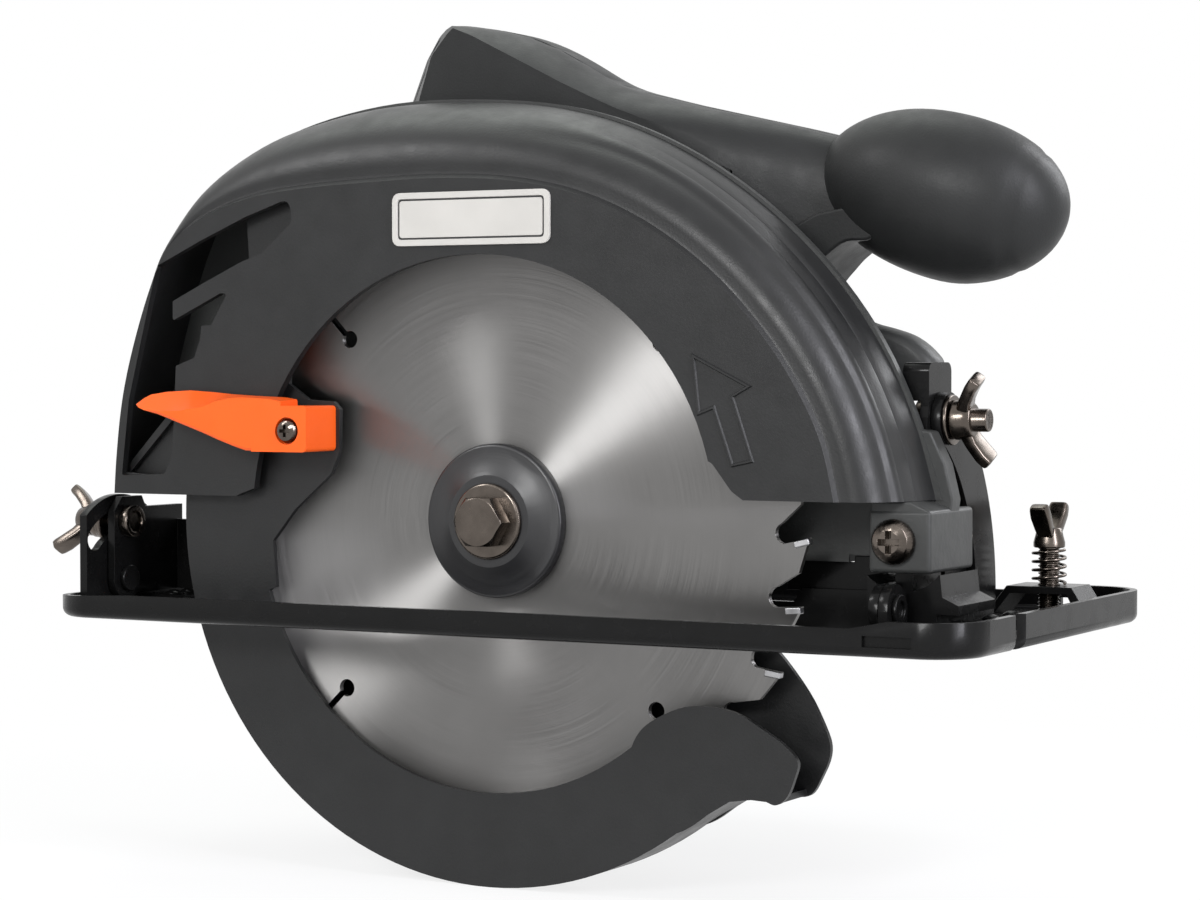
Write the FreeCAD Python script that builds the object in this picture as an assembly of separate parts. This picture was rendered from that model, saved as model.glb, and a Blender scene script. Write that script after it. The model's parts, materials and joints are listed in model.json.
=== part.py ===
import FreeCAD, Part
import math
import os

os.makedirs("parts", exist_ok=True)
V = FreeCAD.Vector

# A 185 mm portable circular saw. Millimetres, +X to the front, -Y to the blade side, +Y to the motor side, +Z up.
# The origin lies on the underside of the sole, in the blade's mid-plane, straight below the arbor.

# ---- fits and general walls
RUN = 0.05            # radial running fit of a pin in its bore
AIR = 0.3             # air gap between neighbours that move past each other
SEAT = 0.1            # gap of a curved piece that is seated in another one

# ---- blade
BLADE_R = 92.5
BLADE_T = 1.8
CUT_DEPTH = 63.5      # blade reach below the sole
BLADE_BORE_R = 10.0
TEETH = 32
GULLET_DEPTH = 9.6
HOOK_DEG = 16.0       # forward lean of each tooth face
TOOTH_BACK_DROP = 2.2  # fall of a tooth's back to the start of the next gullet
TIP_W = 2.6           # carbide tip across the blade
TIP_L = 4.6           # carbide tip along the tooth face
TIP_T = 1.7           # carbide tip thickness
SLOT_R = 69.0         # centre of each expansion slot's round end
SLOT_HOLE_R = 2.4
SLOT_W = 1.0
SLOT_ANGLES = (132.0, 222.0, 312.0, 42.0)
TOOTH_PHASE = -1.4    # angle of the first tooth tip

# ---- spindle stack, along Y
FLANGE_R = 21.0
OUTER_FLANGE_T = 5.8
OUTER_RIM_T = 3.3
FLANGE_FACE_R = 11.0
INNER_FLANGE_T = 5.0
WASHER_R = 10.4
WASHER_T = 1.3
BOLT_AF = 13.0        # across the flats of the arbor bolt
BOLT_HEAD_T = 5.2
BOLT_R = 4.0
NOSE_R = 6.0          # spindle nose inside the flanges
FRONT_BEARING = (7.5, 16.0, 9.0)   # bore radius, outer radius, width
REAR_BEARING = (4.0, 11.0, 7.0)
CAP_BEARING = (3.5, 9.5, 6.0)

# ---- gears and motor
MODULE = 1.0
GEAR_TEETH = 38
PINION_TEETH = 9
GEAR_W = 7.0
LOCK_DISC_R = 15.0
LOCK_NOTCHES = 12
MOTOR_ANGLE = 105.0   # direction from the arbor to the motor shaft
HOUSING_R = 40.0
HOUSING_WALL = 3.0
HOUSING_L = 74.0
CAP_L = 18.0
CORE_R = 23.0
CORE_L = 32.0
STATOR_BORE_R = 23.6
COMMUTATOR_R = 11.0
FAN_R = 33.0
CHAMBER_WALL = 3.0

# ---- lower guard
TOOTH_CLEAR = 4.9     # air between the tooth tips and the guard's rim
GUARD_WALL = 1.6
GUARD_NEAR_Y = -8.6   # outer face of the blade-side plate
GUARD_FAR_Y = 9.4     # outer face of the motor-side plate
GUARD_INNER_R = 73.5
GUARD_FRONT_DEG = -46.0
GUARD_REAR_DEG = -205.0
HUB_R = 25.0          # lip of the nose that carries the lower guard
NOSE_OUT_R = 22.0
HUB_WEB_R = 33.0

# ---- upper guard and gear case plate
UPPER_FACE_Y = -14.0
UPPER_BACK_Y = 12.0
UPPER_WALL = 2.6
CUTOUT_R = 72.0
REAR_BOTTOM_Z = 34.5
FRONT_BOTTOM_Z = 36.7
CASE_PLATE_T = 2.5
CASE_PROUD = 0.9      # how far the case plate stands out past the guard's edge

# ---- base
BASE_REAR_X = -131.0
BASE_FRONT_X = 149.0
BASE_NEAR_Y = -34.0
BASE_FAR_Y = 106.0
SHEET = 2.0
RIM_H = 7.0
FRONT_RIM_H = 9.0
BASE_CORNER_R = 15.0
SLOT_X = (-107.0, 99.0)
SLOT_Y = (-14.0, 26.0)

# ---- bevel hinge and depth hinge
BEVEL_Y = -5.0
BEVEL_Z = 9.5
BEVEL_PIN_R = 2.5
DEPTH_X = 116.6
DEPTH_Z = 26.5
DEPTH_PIN_R = 4.0
LUG_X = (109.4, 126.3)
LUG_Y = (-2.0, 28.0)
LUG_Z = (18.5, 34.5)
EAR_R = 6.8

# ---- front quadrant, its stud and wing nut
QUAD_X = 118.5
QUAD_T = 2.5
QUAD_R = (48.5, 63.0)
STUD_ARC_R = 56.0
STUD_DEG = 58.0
STUD_R = 3.0
SECTOR_T = 2.3
BEVEL_RANGE = 45.0

# ---- rear quadrant and its wing bolt
REAR_QUAD_X = -127.7
REAR_QUAD_T = 2.5
REAR_QUAD_R = 24.3
REAR_SLOT_R = 16.5
REAR_PLATE_X = -124.7
REAR_PLATE_T = 2.3
REAR_BOLT_R = 3.0

# ---- depth arm and lever
DEPTH_BOLT_REACH = 98.4      # how far behind the arbor the depth clamp's bolt circle passes
DEPTH_ARM_R = DEPTH_X + DEPTH_BOLT_REACH
DEPTH_ARM_W = 14.0
DEPTH_ARM_Y = (16.5, 19.0)
DEPTH_REST_DEG = 2.0
DEPTH_RANGE = 28.0
DEPTH_BOLT_R = 3.0
LEVER_LEN = 46.0

# ---- rip guide clamp
GUIDE_X = 132.0
GUIDE_Y = 69.5
STRAP_W = 15.0
STRAP_H = 7.5         # clear height under the strap
STRAP_HALF = 14.5
GUIDE_BOLT_R = 3.0
WING_R = 9.7          # reach of each wing from its screw's axis

# ---- handle
HANDLE_Y = 45.0
HANDLE_HALF = 17.0
HANDLE_WALL = 3.0
HANDLE_ROUND = 7.0
KNOB_C = (113.0, 117.3)
KNOB_A = (32.0, 21.0)
KNOB_TILT = 13.0
TRIGGER_W = 14.0

ARBOR_Z = BLADE_R - CUT_DEPTH
PITCH_GEAR_R = MODULE * GEAR_TEETH / 2
PITCH_PINION_R = MODULE * PINION_TEETH / 2
CENTRES = PITCH_GEAR_R + PITCH_PINION_R
MOTOR_X = CENTRES * math.cos(math.radians(MOTOR_ANGLE))
MOTOR_Z = ARBOR_Z + CENTRES * math.sin(math.radians(MOTOR_ANGLE))
GUARD_IN_R = BLADE_R + TOOTH_CLEAR
GUARD_R = GUARD_IN_R + GUARD_WALL

# Stations along Y, from the blade to the motor's end.
Y_BLADE = BLADE_T / 2
Y_INNER_FLANGE = Y_BLADE + INNER_FLANGE_T
Y_NOSE = Y_INNER_FLANGE + 0.7
Y_LIP = Y_NOSE + 0.9
Y_BEARING = Y_NOSE + 1.6
Y_BEARING_END = Y_BEARING + FRONT_BEARING[2]
Y_CASE = UPPER_BACK_Y
Y_CASE_PLATE = Y_CASE + CASE_PLATE_T
Y_CHAMBER = Y_BEARING_END + CHAMBER_WALL
Y_GEAR = Y_CHAMBER + 0.4
Y_DISC = Y_GEAR + GEAR_W + 0.5
DISC_W = 4.0
Y_PLATE = Y_DISC + DISC_W + 1.0
PLATE_T = 10.0
Y_HOUSING = Y_PLATE + PLATE_T
Y_FAN = Y_HOUSING + 3.0
FAN_W = 11.0
Y_CORE = Y_FAN + FAN_W + 9.0
Y_COMM = Y_CORE + CORE_L + 3.0
COMM_W = 12.0
Y_CAP = Y_HOUSING + HOUSING_L
Y_END = Y_CAP + CAP_L
Y_CAP_BEARING = Y_CAP + 2.0
Y_BRUSH = Y_COMM + COMM_W / 2
STUD_Y = BEVEL_Y + STUD_ARC_R * math.cos(math.radians(STUD_DEG))
STUD_Z = BEVEL_Z + STUD_ARC_R * math.sin(math.radians(STUD_DEG))
CLAMP_X = DEPTH_X - DEPTH_ARM_R * math.cos(math.radians(DEPTH_REST_DEG))
CLAMP_Z = DEPTH_Z + DEPTH_ARM_R * math.sin(math.radians(DEPTH_REST_DEG))


SPRING_STEPS = 18       # circles in each turn of a spring


# ---------------------------------------------------------------- helpers
def box(x0, x1, y0, y1, z0, z1):
    return Part.makeBox(x1 - x0, y1 - y0, z1 - z0, V(x0, y0, z0))


def rod_x(x0, x1, y, z, r):
    return Part.makeCylinder(r, x1 - x0, V(x0, y, z), V(1, 0, 0))


def rod_y(y0, y1, x, z, r):
    return Part.makeCylinder(r, y1 - y0, V(x, y0, z), V(0, 1, 0))


def rod_z(z0, z1, x, y, r):
    return Part.makeCylinder(r, z1 - z0, V(x, y, z0), V(0, 0, 1))


def tube_y(y0, y1, x, z, r_in, r_out):
    return rod_y(y0, y1, x, z, r_out).cut(rod_y(y0 - 1, y1 + 1, x, z, r_in))


def slab_y(points, y0, y1):
    """A prism along Y with the given (x, z) corners."""
    ring = [V(x, y0, z) for x, z in points]
    return Part.Face(Part.makePolygon(ring + ring[:1])).extrude(V(0, y1 - y0, 0))


def slab_x(points, x0, x1):
    """A prism along X with the given (y, z) corners."""
    ring = [V(x0, y, z) for y, z in points]
    return Part.Face(Part.makePolygon(ring + ring[:1])).extrude(V(x1 - x0, 0, 0))


def spline_wire(points, y, closed=False):
    curve = Part.BSplineCurve()
    curve.interpolate(Points=[V(x, y, z) for x, z in points], PeriodicFlag=closed)
    return curve.toShape()


def spline_slab(points, y0, y1):
    """A prism along Y whose outline is a smooth closed curve through the (x, z) points."""
    return Part.Face(Part.Wire([spline_wire(points, y0, True)])).extrude(V(0, y1 - y0, 0))


def turned_y(profile, x, z):
    """A solid of revolution about the Y line through (x, z), from (radius, y) corners."""
    ring = [V(x + r, y, z) for r, y in profile]
    return Part.Face(Part.makePolygon(ring + ring[:1])).revolve(V(x, 0, z), V(0, 1, 0), 360)


def hull_y(y0, y1, ax, az, ar, bx, bz, br):
    """Two round ends and the straight sides between them."""
    ends = rod_y(y0, y1, ax, az, ar).fuse(rod_y(y0, y1, bx, bz, br))
    dx, dz = bx - ax, bz - az
    length = math.hypot(dx, dz)
    lean = math.asin((ar - br) / length)
    turn = math.atan2(dz, dx)
    corners = []
    for side, (cx, cz, r) in ((1, (ax, az, ar)), (1, (bx, bz, br)), (-1, (bx, bz, br)), (-1, (ax, az, ar))):
        a = turn + side * (math.pi / 2 - lean)
        corners.append((cx + r * math.cos(a), cz + r * math.sin(a)))
    return ends.fuse(slab_y(corners, y0, y1)).removeSplitter()


def sector_y(y0, y1, x, z, r_in, r_out, deg0, deg1):
    """Part of a flat ring about a Y axis, from angle deg0 up to deg1, measured from +X towards +Z."""
    return tube_y(y0, y1, x, z, r_in, r_out).common(wedge_y(y0, y1, x, z, r_out * 1.5, deg0, deg1))


def wedge_y(y0, y1, x, z, reach, deg0, deg1):
    steps = max(2, int(abs(deg1 - deg0) / 20) + 1)
    rim = [deg0 + (deg1 - deg0) * i / steps for i in range(steps + 1)]
    points = [(x, z)]
    points += [(x + reach * math.cos(math.radians(a)), z + reach * math.sin(math.radians(a))) for a in rim]
    return slab_y(points, y0, y1)


def sector_x(x0, x1, y, z, r_in, r_out, deg0, deg1):
    """Part of a flat ring about an X axis, from angle deg0 up to deg1, measured from +Y towards +Z."""
    ring = rod_x(x0, x1, y, z, r_out).cut(rod_x(x0 - 1, x1 + 1, y, z, r_in))
    steps = max(2, int(abs(deg1 - deg0) / 20) + 1)
    rim = [deg0 + (deg1 - deg0) * i / steps for i in range(steps + 1)]
    reach = r_out * 1.5
    points = [(y, z)]
    points += [(y + reach * math.cos(math.radians(a)), z + reach * math.sin(math.radians(a))) for a in rim]
    return ring.common(slab_x(points, x0, x1))


def arc_slot_x(x0, x1, y, z, r, half, deg0, deg1):
    """An arc-shaped slot cutter about an X axis, with round ends."""
    cutter = sector_x(x0, x1, y, z, r - half, r + half, deg0, deg1)
    for a in (deg0, deg1):
        c = math.cos(math.radians(a))
        s = math.sin(math.radians(a))
        cutter = cutter.fuse(rod_x(x0, x1, y + r * c, z + r * s, half))
    return cutter


def hexagon_y(y0, y1, x, z, flats):
    r = flats / math.sqrt(3)
    points = [(x + r * math.cos(math.radians(60 * i)), z + r * math.sin(math.radians(60 * i))) for i in range(6)]
    prism = slab_y(points, y0, y1)
    bevel = (y1 - y0) * 0.14
    round_off = turned_y([(0, y0), (flats / 2 - 0.1, y0), (r, y0 + bevel), (r, y1), (0, y1)], x, z)
    return prism.common(round_off)


def spin(shape, x, z, deg):
    """The shape turned about the Y line through (x, z); positive goes from +X towards +Z."""
    copy = shape.copy()
    copy.rotate(V(x, 0, z), V(0, -1, 0), deg)
    return copy


def round_edges(shape, radius, chosen):
    """Fillets the edges that chosen() picks out."""
    edges = [e for e in shape.Edges if chosen(e)]
    return shape.makeFillet(radius, edges) if edges else shape


def along(axis):
    """Picks straight edges that run along one axis."""
    def test(edge):
        if not isinstance(edge.Curve, (Part.Line, Part.LineSegment)):
            return False
        a, b = edge.Vertexes[0].Point, edge.Vertexes[-1].Point
        return (b - a).Length > 0.5 and abs((b - a).normalize().dot(axis)) > 0.999
    return test


def at_y(y):
    """Picks edges that lie in the plane of one Y value."""
    def test(edge):
        b = edge.BoundBox
        return abs(b.YMin - y) < 0.02 and abs(b.YMax - y) < 0.02
    return test


def bearing(y0, x, z, size):
    """Two rings and the shielded ball track between them, as one closed bearing."""
    bore, outer, width = size
    groove = (outer - bore) * 0.28
    rings = tube_y(y0, y0 + width, x, z, bore, bore + groove)
    rings = rings.fuse(tube_y(y0, y0 + width, x, z, outer - groove, outer))
    return rings.fuse(tube_y(y0 + 0.5, y0 + width - 0.5, x, z, bore + groove, outer - groove)).removeSplitter()


def spur_gear(y0, y1, x, z, teeth, phase_deg):
    """A spur gear with straight-sided teeth that leave working play."""
    pitch_r = MODULE * teeth / 2
    tip_r, root_r = pitch_r + 0.8 * MODULE, pitch_r - 1.2 * MODULE
    points = []
    for i in range(teeth):
        mid = phase_deg + 360.0 * i / teeth
        for r, half in ((root_r, 0.92), (pitch_r, 0.58), (tip_r, 0.26)):
            a = math.radians(mid - math.degrees(half * MODULE / r))
            points.append((x + r * math.cos(a), z + r * math.sin(a)))
        for r, half in ((tip_r, 0.26), (pitch_r, 0.58), (root_r, 0.92)):
            a = math.radians(mid + math.degrees(half * MODULE / r))
            points.append((x + r * math.cos(a), z + r * math.sin(a)))
    return slab_y(points, y0, y1)


def wing(hub_r, hub_l, axis_x, flare):
    """A wing nut body about the X axis at the origin: a hub from x = 0 outwards, and two flared wings."""
    hub = Part.makeCone(hub_r, hub_r * 0.86, hub_l, V(0, 0, 0), V(axis_x, 0, 0))
    blade_t = 3.0
    tip = hub_l + flare
    leaf = [(hub_l * 0.25, 0), (hub_l, hub_r * 0.3), (tip, WING_R - 3.4), (tip, WING_R - 1.0),
            (tip - 2.0, WING_R), (hub_l * 0.5, hub_r + 0.8), (hub_l * 0.1, hub_r * 0.8)]
    body = hub
    for side in (1, -1):
        ring = [V(axis_x * a, -blade_t / 2, side * r) for a, r in leaf]
        plate = Part.Face(Part.makePolygon(ring + ring[:1])).extrude(V(0, blade_t, 0))
        body = body.fuse(plate)
    return body.removeSplitter()


def turn_about_x(shape, deg):
    copy = shape.copy()
    copy.rotate(V(0, 0, 0), V(1, 0, 0), deg)
    return copy


def placed(shape, x, y, z):
    copy = shape.copy()
    copy.translate(V(x, y, z))
    return copy


def coil(axis_point, axis, radius, wire_r, pitch, height):
    """A round-wire helical spring along an axis, lofted through circles along the helix."""
    rings = []
    for n in range(round(height / pitch * SPRING_STEPS) + 1):
        turn = 2 * math.pi * n / SPRING_STEPS
        centre = V(radius * math.cos(turn), radius * math.sin(turn), pitch * n / SPRING_STEPS)
        along_wire = V(-radius * math.sin(turn), radius * math.cos(turn), pitch / (2 * math.pi))
        rings.append(Part.Wire([Part.makeCircle(wire_r, centre, along_wire)]))
    spring = Part.makeLoft(rings, True, True)
    spring.Placement = FreeCAD.Placement(axis_point, FreeCAD.Rotation(V(0, 0, 1), axis))
    return spring


def pan_head_y(y0, x, z, head_r, head_t, shank_r, shank_l, cross):
    """A cross-recess pan-head screw along Y with its head on the -Y side of y0."""
    profile = [(0, y0), (head_r, y0), (head_r, y0 - head_t * 0.35), (head_r * 0.82, y0 - head_t * 0.8),
               (head_r * 0.5, y0 - head_t), (0, y0 - head_t)]
    head = turned_y(profile, x, z)
    for across in ((cross, cross * 0.28), (cross * 0.28, cross)):
        head = head.cut(box(x - across[0], x + across[0], y0 - head_t - 1, y0 - head_t * 0.35,
                            z - across[1], z + across[1]))
    return head.fuse(rod_y(y0, y0 + shank_l, x, z, shank_r)).removeSplitter()


NODES = {}


def save(name, *solids):
    """Writes one node; several solids stay separate solids of one group."""
    shape = solids[0] if len(solids) == 1 else Part.makeCompound(list(solids))
    assert shape.isValid() and shape.Volume > 0, name
    NODES[name] = shape
    shape.exportStep("parts/" + name + ".step")
    print(name, len(shape.Solids), round(shape.Volume))


# ---------------------------------------------------------------- blade and spindle
def polar(r, deg):
    return V(r * math.cos(math.radians(deg)), 0, ARBOR_Z + r * math.sin(math.radians(deg)))


def blade_outline():
    """Teeth that lean forwards, each with a straight face, a round gullet and a long sloping back."""
    pitch = 360.0 / TEETH
    root_r = BLADE_R - GULLET_DEPTH
    face_drop = math.degrees(math.tan(math.radians(HOOK_DEG)) * (GULLET_DEPTH - 2.4) / BLADE_R)
    edges = []
    for i in range(TEETH):
        a = TOOTH_PHASE + pitch * i
        tip = polar(BLADE_R, a)
        foot = polar(root_r + 2.4, a - face_drop)
        root = polar(root_r, a + 0.7)
        heel = polar(root_r + 1.7, a + 2.3)
        back = polar(BLADE_R - TOOTH_BACK_DROP, a + pitch * 0.48)
        edges.append(Part.LineSegment(tip, foot).toShape())
        edges.append(Part.Arc(foot, root, heel).toShape())
        edges.append(Part.LineSegment(heel, back).toShape())
        edges.append(Part.LineSegment(back, polar(BLADE_R, a + pitch)).toShape())
    return Part.Wire(edges)


def carbide_tips():
    """One small block let into the top of each tooth face."""
    tips = []
    face = spin(box(BLADE_R - TIP_L, BLADE_R - 0.15, -TIP_W / 2, TIP_W / 2, ARBOR_Z - TIP_T, ARBOR_Z),
                BLADE_R, ARBOR_Z, HOOK_DEG)
    for i in range(TEETH):
        tips.append(spin(face, 0, ARBOR_Z, TOOTH_PHASE + 360.0 * i / TEETH))
    return tips


def make_blade():
    disc = Part.Face(blade_outline()).extrude(V(0, BLADE_T, 0))
    disc.translate(V(0, -BLADE_T / 2, 0))
    cutters = [rod_y(-5, 5, 0, ARBOR_Z, BLADE_BORE_R)]
    for a in SLOT_ANGLES:
        slot = box(SLOT_R, BLADE_R, -5, 5, ARBOR_Z - SLOT_W / 2, ARBOR_Z + SLOT_W / 2)
        gullet = TOOTH_PHASE + 0.7 + 360.0 / TEETH * round((a - TOOTH_PHASE) * TEETH / 360.0)
        cutters.append(spin(slot, 0, ARBOR_Z, gullet))
        c = polar(SLOT_R, gullet)
        cutters.append(rod_y(-5, 5, c.x, c.z, SLOT_HOLE_R))
    tips = carbide_tips()
    save("saw_blade", disc.cut(cutters + tips))
    save("carbide_tips", *tips)


def make_spindle():
    z = ARBOR_Z
    bore, outer, width = FRONT_BEARING
    shaft = rod_y(-Y_BLADE + 0.4, Y_INNER_FLANGE, 0, z, NOSE_R - SEAT)
    shaft = shaft.fuse(rod_y(Y_INNER_FLANGE, Y_BEARING_END, 0, z, bore - 0.02))
    shaft = shaft.fuse(rod_y(Y_BEARING_END, Y_GEAR, 0, z, bore + 2))
    shaft = shaft.fuse(rod_y(Y_GEAR, Y_DISC + DISC_W, 0, z, bore - 0.5))
    shaft = shaft.fuse(rod_y(Y_DISC + DISC_W, Y_PLATE + 1 + REAR_BEARING[2], 0, z, REAR_BEARING[0] - 0.02))
    save("spindle", shaft.cut(rod_y(-5, Y_CASE, 0, z, BOLT_R)).removeSplitter())

    flange = rod_y(Y_BLADE, Y_INNER_FLANGE, 0, z, FLANGE_R)
    flange = flange.fuse(rod_y(-Y_BLADE + 0.3, Y_BLADE, 0, z, BLADE_BORE_R - SEAT))
    flange = flange.cut(tube_y(Y_BLADE - 0.1, Y_BLADE + 0.8, 0, z, BLADE_BORE_R + 1, FLANGE_R - 5))
    save("inner_flange", flange.cut(rod_y(-5, 20, 0, z, NOSE_R)))

    y0, y1 = -Y_BLADE, -Y_BLADE - OUTER_FLANGE_T
    profile = [(BOLT_R + 0.2, y0 - 0.7), (FLANGE_R - 5, y0 - 0.7), (FLANGE_R - 5, y0), (FLANGE_R, y0),
               (FLANGE_R, y0 - OUTER_RIM_T + 0.6), (FLANGE_R - 0.6, y0 - OUTER_RIM_T),
               (FLANGE_R - 3.5, y0 - OUTER_RIM_T - 0.1), (FLANGE_FACE_R + 1.5, y1), (BOLT_R + 0.2, y1)]
    save("outer_flange", turned_y(profile, 0, z))
    washer = turned_y([(BOLT_R + 0.1, y1), (WASHER_R, y1), (WASHER_R, y1 - WASHER_T * 0.6),
                       (WASHER_R - 0.5, y1 - WASHER_T), (BOLT_R + 0.1, y1 - WASHER_T)], 0, z)
    save("arbor_washer", washer)
    head_y = y1 - WASHER_T
    bolt = hexagon_y(head_y - BOLT_HEAD_T, head_y, 0, z, BOLT_AF)
    bolt = bolt.fuse(rod_y(head_y, Y_CASE - 4, 0, z, BOLT_R - 0.02))
    save("arbor_bolt", bolt.removeSplitter())

    gear = spur_gear(Y_GEAR, Y_GEAR + GEAR_W, 0, z, GEAR_TEETH, MOTOR_ANGLE + 180.0 / GEAR_TEETH)
    gear = gear.cut(tube_y(Y_GEAR - 0.1, Y_GEAR + 1.5, 0, z, 11, 15))
    save("drive_gear", gear.cut(rod_y(0, 60, 0, z, bore - 0.5)))
    disc = rod_y(Y_DISC, Y_DISC + DISC_W, 0, z, LOCK_DISC_R)
    notch = box(LOCK_DISC_R - 4, LOCK_DISC_R + 1, Y_DISC - 1, Y_DISC + DISC_W + 1, z - 2.1, z + 2.1)
    notches = [spin(notch, 0, z, 360.0 * i / LOCK_NOTCHES) for i in range(LOCK_NOTCHES)]
    save("lock_disc", disc.cut(notches + [rod_y(0, 60, 0, z, bore - 0.5)]))


# ---------------------------------------------------------------- motor
def make_armature():
    x, z = MOTOR_X, MOTOR_Z
    seat = REAR_BEARING[0] - 0.02
    y_bearing = Y_PLATE + 1.5
    shaft = rod_y(Y_GEAR - 0.1, y_bearing, x, z, seat - 0.8)
    shaft = shaft.fuse(rod_y(y_bearing - 0.5, Y_CAP_BEARING, x, z, seat))
    shaft = shaft.fuse(rod_y(Y_CAP_BEARING, Y_CAP_BEARING + CAP_BEARING[2] + 1, x, z, CAP_BEARING[0] - 0.02))
    pinion = spur_gear(Y_GEAR, Y_GEAR + GEAR_W + 0.3, x, z, PINION_TEETH, MOTOR_ANGLE + 180.0)
    save("armature_shaft", shaft.fuse(pinion).removeSplitter())

    core = rod_y(Y_CORE, Y_CORE + CORE_L, x, z, CORE_R)
    slot = box(CORE_R - 4, CORE_R + 1, Y_CORE - 1, Y_CORE + CORE_L + 1, -0.9, 0.9)
    slot.translate(V(x, 0, z))
    slots = [spin(slot, x, z, 30.0 * i) for i in range(12)]
    save("armature_core", core.cut(slots + [rod_y(0, 200, x, z, seat)]))
    comm = rod_y(Y_COMM, Y_COMM + COMM_W, x, z, COMMUTATOR_R).cut(rod_y(0, 200, x, z, seat))
    save("commutator", comm)

    hub = tube_y(Y_FAN, Y_FAN + FAN_W, x, z, seat, 9)
    disc = tube_y(Y_FAN, Y_FAN + 1.6, x, z, seat, FAN_R)
    vane = box(8, FAN_R, Y_FAN + 1.0, Y_FAN + FAN_W - 1, -0.8, 0.8)
    vane.translate(V(x, 0, z))
    fan = hub.fuse([disc] + [spin(vane, x, z, 36.0 * i) for i in range(10)])
    save("cooling_fan", fan.removeSplitter())


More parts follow.
